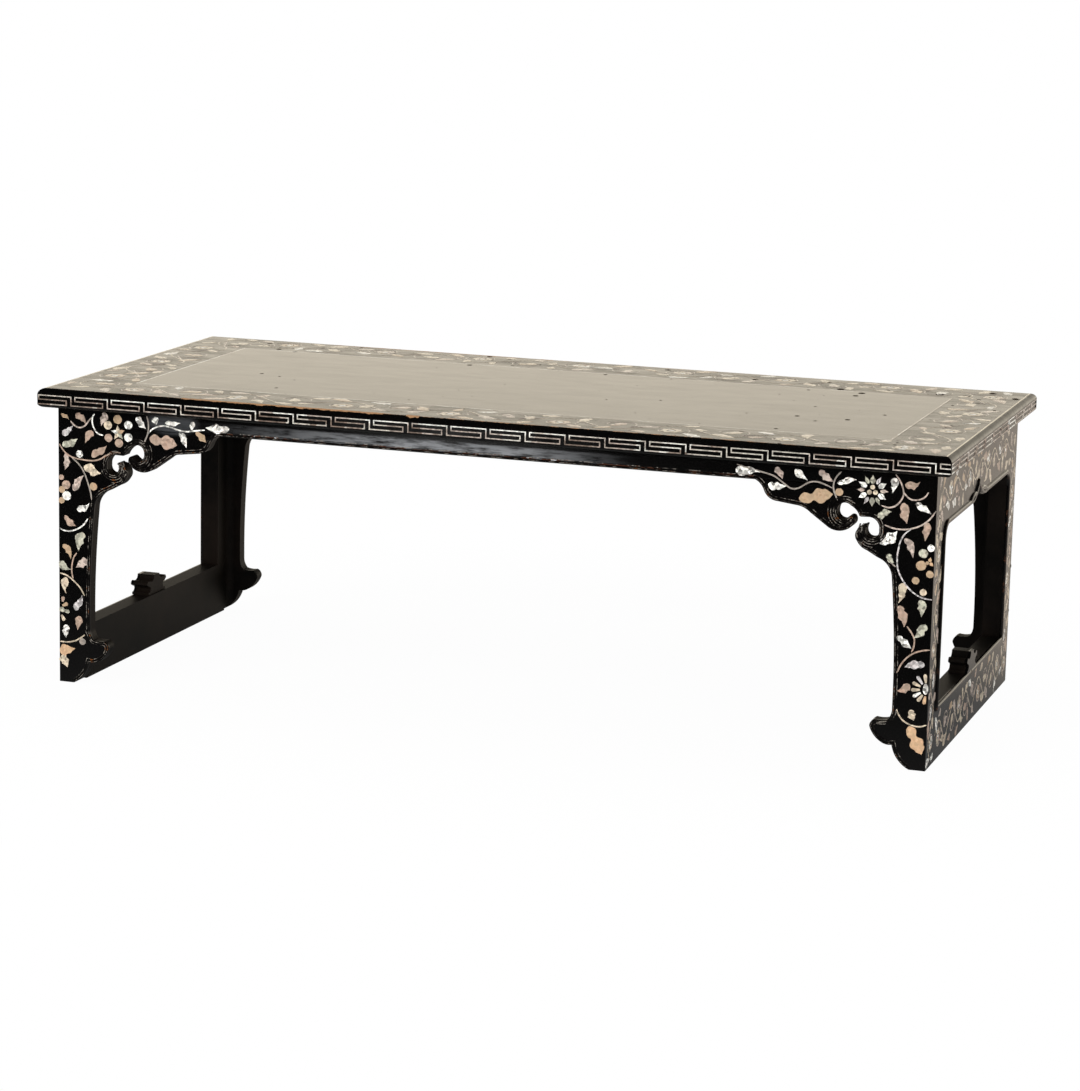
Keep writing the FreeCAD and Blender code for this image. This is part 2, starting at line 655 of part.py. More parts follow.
def leg(name):
    """Front right leg: stile, front wing with foot, cove, tenons and mortises."""
    body = new_body(name)
    stock = f"{LEG_X} - foot_spread - cut_overrun"
    plan = [
        (stock, f"-{LEG_Y}"),
        (LEG_X, f"-{LEG_Y}"),
        (LEG_X, f"-{STILE_INNER_Y}"),
        (STILE_INNER_X, f"-{STILE_INNER_Y}"),
        (STILE_INNER_X, f"-{WING_BACK_Y} + cove_radius", QUARTER_BOW_SHARE),
        (f"{STILE_INNER_X} - cove_radius", f"-{WING_BACK_Y}"),
        (stock, f"-{WING_BACK_Y}"),
    ]
    sketch = draw(new_sketch(body, f"{name}_plan", "XY_Plane"), plan)
    pad(body, sketch, UNDER_TOP)
    foot = [
        (f"{LEG_X} - foot_spread * {reach}", f"foot_height * {height}", bow)
        for reach, height, bow in FOOT_SHARES
    ]
    waste = [
        (LEG_INNER_X, f"{UNDER_TOP} + cut_overrun"),
        (LEG_INNER_X, "taper_top", TAPER_BOW_SHARE),
        (f"{LEG_X} - leg_waist", "foot_height", INSTEP_BOW_SHARE),
        *foot,
        (f"{LEG_X} - foot_flat", "0"),
        (f"{LEG_X} - foot_flat", "-cut_overrun"),
        (f"{stock} - cut_overrun", "-cut_overrun"),
        (f"{stock} - cut_overrun", f"{UNDER_TOP} + cut_overrun"),
    ]
    sketch = new_sketch(body, f"{name}_side", "XZ_Plane", f"{LEG_Y} + cut_overrun")
    draw(sketch, waste)
    pocket(body, sketch, "wing_thickness + cove_radius + 2 * cut_overrun")
    box_pad(body, f"{name}_long_tenon", LONG_TENON_X, LONG_TENON_Y,
            (f"{UNDER_TOP} - cut_overrun", f"{UNDER_TOP} + long_tenon_height"))
    box_pad(body, f"{name}_short_tenon", SHORT_TENON_X, SHORT_TENON_Y,
            (f"{UNDER_TOP} - cut_overrun", f"{UNDER_TOP} + short_tenon_height"))
    box_pocket(body, f"{name}_apron_mortise",
               (APRON_TENON_X[0], f"{APRON_TENON_X[1]} + joint_clearance"),
               spread(APRON_TENON_Y), spread(APRON_TENON_Z))
    box_pocket(body, f"{name}_spandrel_groove",
               (f"{LEG_INNER_X} - cut_overrun", f"{LEG_INNER_X} + spline_depth + joint_clearance"),
               spread(SPLINE_Y), spread(LEG_SPLINE_Z))
    for label, span in (("end_apron", END_APRON_TENON_Z), ("base_rail", BASE_TENON_Z)):
        box_pocket(body, f"{name}_{label}_mortise", spread(END_TENON_X),
                   (f"{END_TENON_Y[0]} - joint_clearance", END_TENON_Y[1]), spread(span))
    bead = bead_section(body, f"{name}_bead", "XY_Plane", "base_rail_height - bead_width",
                        f"-{STILE_INNER_Y} - bead_width", f"-{STILE_INNER_Y}")
    pad(body, bead, f"{END_OPENING_TOP} - opening_corner - base_rail_height + bead_width")
    return body


# Long apron between the legs, with a tenon at each end and grooves for the spandrels
def long_apron(name):
    """Front apron: plain board with a rounded lower edge."""
    body = new_body(name)
    outline = [
        (f"-{LEG_Y} + apron_edge_round", APRON_UNDER),
        (f"-{WING_BACK_Y}", APRON_UNDER),
        (f"-{WING_BACK_Y}", UNDER_TOP),
        (f"-{LEG_Y}", UNDER_TOP),
        (f"-{LEG_Y}", f"{APRON_UNDER} + apron_edge_round", -QUARTER_BOW_SHARE),
    ]
    sketch = draw(new_sketch(body, f"{name}_profile", "YZ_Plane"), outline)
    pad(body, sketch, f"2 * {LEG_INNER_X}", middle=True)
    box_pad(body, f"{name}_tenons", (f"-({APRON_TENON_X[1]})", APRON_TENON_X[1]),
            APRON_TENON_Y, APRON_TENON_Z)
    for end, mirror in (("right", lambda span: span), ("left", flipped)):
        box_pocket(body, f"{name}_groove_{end}", spread(mirror(APRON_SPLINE_X)),
                   spread(SPLINE_Y),
                   (f"{APRON_UNDER} - cut_overrun",
                    f"{APRON_UNDER} + spline_depth + joint_clearance"))
    return body


def spandrel(name):
    """Front right spandrel: two facing scrolls, splined into the apron and the leg."""
    body = new_body(name)
    outline = [
        (f"{LEG_INNER_X} - spandrel_length * {reach}", f"{APRON_UNDER} - spandrel_drop * {drop}",
         bow)
        for reach, drop, bow in SPANDREL_SHARES
    ]
    outline += [(LEG_INNER_X, f"{APRON_UNDER} - spandrel_drop"), (LEG_INNER_X, APRON_UNDER)]
    sketch = new_sketch(body, f"{name}_outline", "XZ_Plane", LEG_Y)
    draw(sketch, outline)
    pad(body, sketch, "wing_thickness", back=True)
    box_pad(body, f"{name}_top_spline", APRON_SPLINE_X, SPLINE_Y,
            (f"{APRON_UNDER} - cut_overrun", f"{APRON_UNDER} + spline_depth"))
    box_pad(body, f"{name}_leg_spline",
            (f"{LEG_INNER_X} - cut_overrun", f"{LEG_INNER_X} + spline_depth"),
            SPLINE_Y, LEG_SPLINE_Z)
    return body


# Ends
def end_opening_edge():
    """Lower outline of the end apron from back to front, with its ogee notch."""
    corner = f"{STILE_INNER_Y} - opening_corner"
    notch = [
        (f"notch_width / 2 * {reach}", f"{END_OPENING_TOP} + notch_rise * {rise}", bow)
        for reach, rise, bow in NOTCH_SHARES
    ]
    return [
        (STILE_INNER_Y, f"{END_OPENING_TOP} - opening_corner", -QUARTER_BOW_SHARE),
        (corner, END_OPENING_TOP, 0),
        *notch,
        (f"-({corner})", END_OPENING_TOP, -QUARTER_BOW_SHARE),
        (f"-{STILE_INNER_Y}", f"{END_OPENING_TOP} - opening_corner", 0),
    ]


def end_apron(name):
    """Right end apron, tenoned between the stiles, with a bead along its lower edge."""
    body = new_body(name)
    outline = [*end_opening_edge(), (f"-{STILE_INNER_Y}", UNDER_TOP), (STILE_INNER_Y, UNDER_TOP)]
    sketch = draw(new_sketch(body, f"{name}_outline", "YZ_Plane", STILE_INNER_X), outline)
    pad(body, sketch, "stile_thickness")
    reach = f"{STILE_INNER_Y} + end_tenon_length"
    box_pad(body, f"{name}_tenons", END_TENON_X, (f"-({reach})", reach), END_APRON_TENON_Z)
    spine = new_sketch(body, f"{name}_edge", "YZ_Plane", LEG_X)
    draw(spine, end_opening_edge(), closed=False)
    section = bead_section(body, f"{name}_bead", "XY_Plane",
                           f"{END_OPENING_TOP} - opening_corner",
                           STILE_INNER_Y, f"{STILE_INNER_Y} + bead_width")
    doc.recompute()
    bead = body.newObject("PartDesign::AdditivePipe", f"{name}_bead_pipe")
    bead.Profile = section
    bead.Spine = (spine, [f"Edge{number + 1}" for number in range(spine.GeometryCount)])
    bead.Transition = "Right corner"
    doc.recompute()
    return body


def base_rail(name):
    """Right base rail on the floor, tenoned into both legs, with a bead on its edge."""
    body = new_body(name)
    box_pad(body, f"{name}_block", (STILE_INNER_X, LEG_X),
            (f"-{STILE_INNER_Y}", STILE_INNER_Y), ("0", "base_rail_height"))
    reach = f"{STILE_INNER_Y} + end_tenon_length"
    box_pad(body, f"{name}_tenons", END_TENON_X, (f"-({reach})", reach), BASE_TENON_Z)
    box_pocket(body, f"{name}_ornament_mortise", spread(END_TENON_X),
               spread(("-ornament_tenon_width / 2", "ornament_tenon_width / 2")),
               ("base_rail_height - ornament_tenon_depth - joint_clearance",
                "base_rail_height + cut_overrun"))
    bead = bead_section(body, f"{name}_bead", "XZ_Plane", "0",
                        "base_rail_height - bead_width", "base_rail_height")
    pad(body, bead, f"2 * {STILE_INNER_Y}", middle=True)
    return body


def ornament(name):
    """Right end ornament: moulded pedestal block with a tenon into the base rail."""
    body = new_body(name)
    half = [
        (f"ornament_width / 2 * {reach}", f"base_rail_height + ornament_height * {rise}", bow)
        for reach, rise, bow in ORNAMENT_SHARES
    ]
    sketch = new_sketch(body, f"{name}_outline", "YZ_Plane", f"{STILE_INNER_X} + bead_height")
    draw(sketch, half + mirrored_outline(half))
    pad(body, sketch, "stile_thickness")
    box_pad(body, f"{name}_tenon", END_TENON_X,
            ("-ornament_tenon_width / 2", "ornament_tenon_width / 2"),
            ("base_rail_height - ornament_tenon_depth", "base_rail_height + cut_overrun"))
    return body


ACROSS = Vector(1, 0, 0)
DEEP = Vector(0, 1, 0)

fret_front = fret_run("fret_front", "table_length", FRET_PHASE_SHARE)
fret_front.Placement = FreeCAD.Placement(
    Vector(0, -value(HALF_WIDTH), 0), FreeCAD.Rotation())
fret_right = fret_run("fret_right", "table_width", FRET_PHASE_SHARE)
fret_right.Placement = FreeCAD.Placement(
    Vector(value(HALF_LENGTH), 0, 0), FreeCAD.Rotation(Vector(0, 0, 1), 90))
frame_front = long_member("frame_front")
frame_right = short_member("frame_right")
line_inlay = field_line("field_line")
board = doc.addObject("Part::Cut", "top_board")
board.Base = top_board("top_board_blank")
board.Tool = line_inlay
leg_front_right = leg("leg_front_right")
spandrel_front_right = spandrel("spandrel_front_right")
apron_front = long_apron("apron_front")
end_apron_right = end_apron("end_apron_right")
base_rail_right = base_rail("base_rail_right")
ornament_right = ornament("ornament_right")
leg_front_left = mirrored(leg_front_right, "leg_front_left", ACROSS)
spandrel_front_left = mirrored(spandrel_front_right, "spandrel_front_left", ACROSS)

subparts = [
    frame_front,
    mirrored(frame_front, "frame_back", DEEP),
    frame_right,
    mirrored(frame_right, "frame_left", ACROSS),
    board,
    line_inlay,
    fret_front,
    mirrored(fret_front, "fret_back", DEEP),
    fret_right,
    mirrored(fret_right, "fret_left", ACROSS),
    *(batten(f"batten_{side}", place)
      for side, place in zip(("left", "middle", "right"), BATTEN_PLACES)),
    leg_front_right,
    leg_front_left,
    mirrored(leg_front_right, "leg_back_right", DEEP),
    mirrored(leg_front_left, "leg_back_left", DEEP),
    apron_front,
    mirrored(apron_front, "apron_back", DEEP),
    spandrel_front_right,
    spandrel_front_left,
    mirrored(spandrel_front_right, "spandrel_back_right", DEEP),
    mirrored(spandrel_front_left, "spandrel_back_left", DEEP),
    end_apron_right,
    mirrored(end_apron_right, "end_apron_left", ACROSS),
    base_rail_right,
    mirrored(base_rail_right, "base_rail_left", ACROSS),
    ornament_right,
    mirrored(ornament_right, "ornament_left", ACROSS),
]
doc.recompute()

for item in doc.Objects:
    if {"Invalid", "Error"} & set(item.State):
        raise RuntimeError(f"{item.Name} is {item.State}")
for item in subparts:
    if item.Shape.isNull() or not item.Shape.isValid():
        raise RuntimeError(f"{item.Label} has no valid shape")

os.makedirs("parts", exist_ok=True)
for item in subparts:
    item.Shape.exportStep(f"parts/{item.Label}.step")
    print(f"{item.Label}: {len(item.Shape.Solids)} solids, {item.Shape.Volume:.0f} mm3")
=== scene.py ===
import logging
import math
from dataclasses import dataclass, field
from enum import Enum
from functools import partial
from typing import Any, Callable, Iterable, Optional, Sequence, Union

import bpy
import numpy as np
from mathutils import Matrix, Vector


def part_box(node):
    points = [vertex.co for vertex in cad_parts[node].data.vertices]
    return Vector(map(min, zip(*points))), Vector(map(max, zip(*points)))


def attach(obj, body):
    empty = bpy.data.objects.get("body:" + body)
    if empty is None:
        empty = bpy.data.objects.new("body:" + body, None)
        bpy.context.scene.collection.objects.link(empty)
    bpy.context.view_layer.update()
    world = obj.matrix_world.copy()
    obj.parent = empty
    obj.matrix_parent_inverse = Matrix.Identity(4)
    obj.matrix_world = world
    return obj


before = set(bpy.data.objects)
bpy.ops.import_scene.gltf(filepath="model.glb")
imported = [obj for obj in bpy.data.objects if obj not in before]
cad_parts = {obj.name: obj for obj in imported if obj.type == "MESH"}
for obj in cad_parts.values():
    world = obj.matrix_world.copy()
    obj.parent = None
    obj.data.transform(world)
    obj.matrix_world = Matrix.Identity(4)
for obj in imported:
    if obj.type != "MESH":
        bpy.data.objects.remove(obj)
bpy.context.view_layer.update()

# Looks of a low kang table: black lacquer over wood, let in with mother-of-pearl.
# Lists below are in millimetres in the table's own frame: X along, Y to the back, Z up.

LOG = logging.getLogger("kang_table")
MM = 0.001
# A spot is flat and a point is in space. A chain holds (x, y, bow) of each corner.
Array = np.ndarray
Spot, Point = tuple[float, float], tuple[float, float, float]
Chain = Sequence[tuple[float, float, float]]
Material, Tree = bpy.types.Material, bpy.types.NodeTree
Node, Socket = bpy.types.Node, bpy.types.NodeSocket
Source = Union[Node, Socket, float, Sequence[float]]
Inputs = Union[dict[str, Source], Sequence[Source]]


class Tone(Enum):
    """Colours of the shell pieces against the black lacquer, and how strongly glints are painted
    into them.
    """

    WHITE = ("#E4E2DB", 1.3)
    CREAM = ("#CABBA4", 0.75)
    TAN = ("#B69C7F", 0.25)
    ORANGE = ("#D0AC88", 0.3)
    PINK = ("#B09887", 0.5)
    ROSE = ("#B7A79C", 0.8)
    LAVENDER = ("#BEB9B8", 1.0)
    GREEN = ("#AFAD9C", 0.95)
    GREY = ("#9A9188", 0.4)

    @property
    def colour(self) -> tuple[float, float, float, float]:
        """Linear colour, with the strength of the glints in place of the alpha."""
        code, glint = self.value
        return *linear(code)[:3], glint


class Cut(Enum):
    """Outlines that the shell is sawn to."""

    LEAF = "lobed leaf with a drawn-out tip"
    DOUBLE = "large leaf with a waist between two lobes"
    PETAL = "petal, widest at its middle, with a sharp point"
    CLUB = "club, narrow at its root and round at its end"
    DISC = "round bead"


def linear(code: str) -> tuple[float, float, float, float]:
    """Turn an sRGB hex code into Blender's linear colour.

    Args:
        code: colour as "#RRGGBB".

    Returns:
        Red, green, blue and an alpha of 1.
    """
    parts = [int(code[i:i + 2], 16) / 255 for i in (1, 3, 5)]
    r, g, b = (c / 12.92 if c <= 0.04045 else ((c + 0.055) / 1.055) ** 2.4 for c in parts)
    return r, g, b, 1.0


def feed(tree: Tree, node: Node, inputs: Inputs) -> None:
    """Link a node's inputs to what feeds them, or set their values.

    Args:
        tree: tree that holds the node.
        node: the node.
        inputs: a value, an output, or a node in place of its first output in use, for
            each input by its name, or for the inputs in use in their order.
    """
    if isinstance(inputs, dict):
        pairs = [(node.inputs[name], source) for name, source in inputs.items()]
    else:
        pairs = list(zip([one for one in node.inputs if one.enabled], inputs))
    for socket, source in pairs:
        if isinstance(source, Node):
            source = next(one for one in source.outputs if one.enabled)
        if isinstance(source, Socket):
            tree.links.new(source, socket)
        else:
            socket.default_value = source


def add_node(tree: Tree, kind: str, inputs: Inputs = (), **settings: Any) -> Node:
    """Add one shader node with its settings and links.

    Args:
        tree: tree that takes the node.
        kind: type of node, such as "Math".
        inputs: what feeds its inputs, as in feed.
        settings: the node's own properties.

    Returns:
        The node.
    """
    node = tree.nodes.new(f"ShaderNode{kind}")
    for name, setting in settings.items():
        setattr(node, name, setting)
    feed(tree, node, inputs)
    return node


def overlap(tree: Tree, *masks: Source) -> Source:
    """Multiply masks, and so keep what all of them cover.

    Args:
        tree: tree that takes the nodes.
        masks: the masks, 0 to 1.

    Returns:
        The product.
    """
    waiting = list(masks)
    while len(waiting) > 1:
        waiting.append(add_node(tree, "Math", (waiting.pop(0), waiting.pop(0)),
                                operation="MULTIPLY"))
    return waiting[0]


def cover(tree: Tree, colour: Source, level: Source,
          layers: Sequence[tuple[Source, str, float]]) -> tuple[Source, Source]:
    """Lay wear or dirt over a finish.

    Args:
        tree: tree that takes the nodes.
        colour: colour before it.
        level: roughness or specular level before it.
        layers: mask, hex code and new level of each layer, the lowest first.

    Returns:
        Colour and level with the layers.
    """
    for mask, shade, new_level in layers:
        colour = add_node(tree, "Mix", (mask, colour, linear(shade)), data_type="RGBA")
        level = add_node(tree, "Mix", (mask, level, new_level))
    return colour, level


def ramp_of(tree: Tree, value: Source, stops: Sequence[tuple[float, str]]) -> Node:
    """Colour by a value, blended between stops.

    Args:
        tree: tree that takes the node.
        value: what feeds it.
        stops: place and hex code of each stop, in rising order.

    Returns:
        The node.
    """
    node = add_node(tree, "ValToRGB", (value,))
    elements = node.color_ramp.elements
    elements.remove(elements[1])
    for number, (position, code) in enumerate(stops):
        element = elements[0] if number == 0 else elements.new(position)
        element.position = position
        element.color = linear(code)
    return node


def start_material(name: str) -> tuple[Material, Tree, Node, Socket]:
    """Start a material.

    Args:
        name: its name.

    Returns:
        The material, its tree, its plain shader, and the object coordinates in it.
    """
    material = bpy.data.materials.new(name)
    material.use_nodes = True
    tree = material.node_tree
    place = add_node(tree, "TexCoord").outputs["Object"]
    return material, tree, tree.nodes["Principled BSDF"], place


# Surfaces

@dataclass
class Plane:
    """Flat face of the table that takes inlay.

    across and up are the face's own axes, and their cross product points out of it.
    """

    origin: Array
    across: Array
    up: Array

    def place(self, flat: Array, lift: Array) -> Array:
        """Put flat points on the face.

        Args:
            flat: places along across and up in millimetres, as (..., 2).
            lift: height above the face in millimetres, as (...).

        Returns:
            Places in metres, as (..., 3).
        """
        out = np.cross(self.across, self.up)
        return (self.origin + flat[..., :1] * MM * self.across + flat[..., 1:] * MM * self.up
                + np.asarray(lift)[..., None] * MM * out)


@dataclass
class Heap:
    """Many small closed solids on one face, gathered into one mesh."""

    plane: Plane
    vertices: list[Array] = field(default_factory=list)
    faces: list[list[int]] = field(default_factory=list)
    tones: list[Array] = field(default_factory=list)
    count: int = 0

    def add(self, places: Array, faces: Iterable[Sequence[int]], tone: Tone) -> None:
        """Add one solid.

        Args:
            places: its vertices in metres, as (n, 3).
            faces: its faces by vertex number, turned outwards.
            tone: its colour.
        """
        self.vertices.append(places)
        self.faces.extend([number + self.count for number in one] for one in faces)
        self.tones.append(np.tile(tone.colour, (len(places), 1)))
        self.count += len(places)

    def finish(self, name: str, material: Material, slot: str, smooth: bool = False) -> None:
        """Make the gathered solids one piece that rides on the table.

        Args:
            name: the piece's name.
            material: its finish.
            slot: not used.
            smooth: whether its faces are shaded smooth.
        """
        mesh = bpy.data.meshes.new(name)
        mesh.from_pydata(np.concatenate(self.vertices).tolist(), [], self.faces)
        tone = mesh.attributes.new("tone", "FLOAT_COLOR", "POINT")
        tone.data.foreach_set("color", np.concatenate(self.tones).ravel())
        mesh.polygons.foreach_set("use_smooth", np.full(len(mesh.polygons), smooth))
        mesh.materials.append(material)
        piece = bpy.data.objects.new(name, mesh)
        bpy.context.scene.collection.objects.link(piece)
        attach(piece, "root")
        LOG.info("%s: %d faces", name, len(mesh.polygons))


def grid_faces(rows: int, columns: int, wrap: bool) -> list[list[int]]:
    """Quads of a grid of vertices numbered row by row.

    Args:
        rows: number of rows.
        columns: number of columns.
        wrap: whether the last column joins the first.

    Returns:
        Faces by vertex number.
    """
    row = np.arange(rows - 1)[:, None]
    column = np.arange(columns if wrap else columns - 1)[None, :]
    following = (column + 1) % columns
    corners = (row * columns + column, row * columns + following,
               (row + 1) * columns + following, (row + 1) * columns + column)
    return np.stack([np.broadcast_to(one, corners[0].shape) for one in corners], -1).reshape(
        -1, 4).tolist()


def arc_chain(chain: Chain, spacing: float) -> Array:
    """Points along a chain of lines and arcs.

    An arc over a chord of length c with bow b stands b times c to the left of travel:
    its radius is c (1 + 4 b^2) / (8 |b|), and it spans 4 atan(2 |b|).

    Args:
        chain: (x, y, bow) of each corner, the bow being that of the edge which leaves it.
        spacing: greatest distance between points.

    Returns:
        Points from the first corner to the last, as (n, 2).
    """
    runs = []
    for (x1, y1, bow), (x2, y2, _) in zip(chain, chain[1:]):
        start, along = np.array([x1, y1]), np.array([x2 - x1, y2 - y1])
        chord = float(np.hypot(*along))
        steps = max(2 if bow else 1, math.ceil(chord / spacing))
        share = np.linspace(0, 1, steps + 1)[:-1]
        height = np.zeros(steps)
        if bow:
            half = 2 * math.atan(2 * abs(bow))
            radius = 1 / (2 * math.sin(half))
            angle = (2 * share - 1) * half
            share = radius * np.sin(angle) + 0.5
            height = math.copysign(radius, bow) * (np.cos(angle) - math.cos(half))
        left = np.array([-along[1], along[0]])
        runs.append(start + share[:, None] * along + height[:, None] * left)
    return np.concatenate([*runs, [chain[-1][:2]]])


def smooth_path(points: Sequence[Spot], spacing: float) -> Array:
    """Smooth curve through a few points: a Catmull-Rom spline, sampled evenly per span.

    Args:
        points: places that the curve passes through.
        spacing: greatest distance between samples.

    Returns:
        Samples, as (n, 2).
    """
    p = np.asarray(points, float)
    padded = np.concatenate([[2 * p[0] - p[1]], p, [2 * p[-1] - p[-2]]])
    runs = []
    for number in range(len(p) - 1):
        a, b, c, d = padded[number:number + 4]
        steps = max(2, math.ceil(float(np.hypot(*(c - b))) / spacing))
        t = np.linspace(0, 1, steps + 1)[:-1, None]
        runs.append(0.5 * (2 * b + (c - a) * t + (2 * a - 5 * b + 4 * c - d) * t ** 2
                           + (3 * b - a - 3 * c + d) * t ** 3))
    return np.concatenate([*runs, p[-1:]])


def path_sides(path: Array) -> Array:
    """Left-hand directions along a path, lengthened at its corners as a mitre is.

    Args:
        path: points, as (n, 2).

    Returns:
        One direction per point, as (n, 2).
    """
    steps = np.diff(path, axis=0)
    steps /= np.maximum(np.linalg.norm(steps, axis=1, keepdims=True), 1e-9)
    before = np.concatenate([steps[:1], steps])
    after = np.concatenate([steps, steps[-1:]])
    mean = before + after
    mean /= np.maximum(np.linalg.norm(mean, axis=1, keepdims=True), 1e-9)
    stretch = 1 / np.maximum((mean * after).sum(1, keepdims=True), 0.6)
    return np.stack([-mean[:, 1], mean[:, 0]], 1) * stretch


def sweep(heap: Heap, path: Array, section: Array, tone: Tone = Tone.GREY,
          widths: Optional[Array] = None) -> None:
    """Carry a closed section along a path on the heap's face, with both ends capped.

    Args:
        heap: takes the solid.
        path: points of the face, as (n, 2).
        section: (side, lift) of each corner in millimetres, anticlockwise from ahead.
        tone: colour.
        widths: share of the section's width at each point of the path.
    """
    sides = path_sides(path)
    scale = np.ones(len(path)) if widths is None else widths
    flat = path[:, None] + sides[:, None] * section[None, :, :1] * scale[:, None, None]
    lift = np.broadcast_to(section[:, 1], flat.shape[:2])
    places = heap.plane.place(flat, lift)
    rows, columns = flat.shape[:2]
    last = (rows - 1) * columns
    faces = grid_faces(rows, columns, wrap=True)
    faces += [list(range(columns))[::-1], list(range(last, last + columns))]
    heap.add(places.reshape(-1, 3), faces, tone)


def rounded_section(width: float, height: float, depth: float, points: int) -> Array:
    """Half-round section that stands on a face and reaches into it.

    Args:
        width: full width.
        height: rise above the face.
        depth: reach below the face.
        points: corners of the rounded top.

    Returns:
        (side, lift) of each corner, anticlockwise.
    """
    angle = np.linspace(0, math.pi, points)
    top = np.stack([width / 2 * np.cos(angle), height * np.sin(angle)], 1)
    return np.concatenate([top, [[-width / 2, -depth], [width / 2, -depth]]])


def turned(centre: Spot, radius: float, angle: float) -> Spot:
    """Find the place at a distance from a centre, in a direction in degrees."""
    turn = math.radians(angle)
    return centre[0] + radius * math.cos(turn), centre[1] + radius * math.sin(turn)


# Half widths from root to tip, as shares of the greatest: sawn leaves with a lobe or two
# and a drawn-out tip, the two sides of an oak-like leaf, and a pointed petal
LEAF_SIDES = (
    (0.30, 0.78, 1.00, 0.94, 0.72, 0.64, 0.70, 0.52, 0.28, 0.15, 0.06),
    (0.12, 0.46, 0.64, 0.56, 0.62, 0.92, 1.00, 0.76, 0.46, 0.20, 0.06),
    (0.20, 0.66, 0.80, 0.58, 0.76, 0.98, 0.82, 0.54, 0.50, 0.22, 0.05),
    (0.25, 0.62, 0.88, 1.00, 0.96, 0.82, 0.60, 0.42, 0.26, 0.14, 0.05),
)
OAK_SIDES = (
    (0.10, 0.46, 0.66, 0.70, 0.60, 0.42, 0.36, 0.62, 0.94, 1.00, 0.90, 0.74, 0.80, 0.62, 0.30,
     0.04),
    (0.14, 0.52, 0.60, 0.70, 0.74, 0.66, 0.40, 0.50, 0.84, 0.98, 0.96, 0.80, 0.58, 0.56, 0.28,
     0.04),
)
PETAL_SIDE = (0.42, 0.60, 0.82, 0.97, 1.00, 0.90, 0.72, 0.50, 0.28, 0.12, 0.03)
# Stations along the spine of each cut
STATIONS = {Cut.LEAF: 15, Cut.DOUBLE: 25, Cut.PETAL: 9, Cut.CLUB: 9, Cut.DISC: 9}


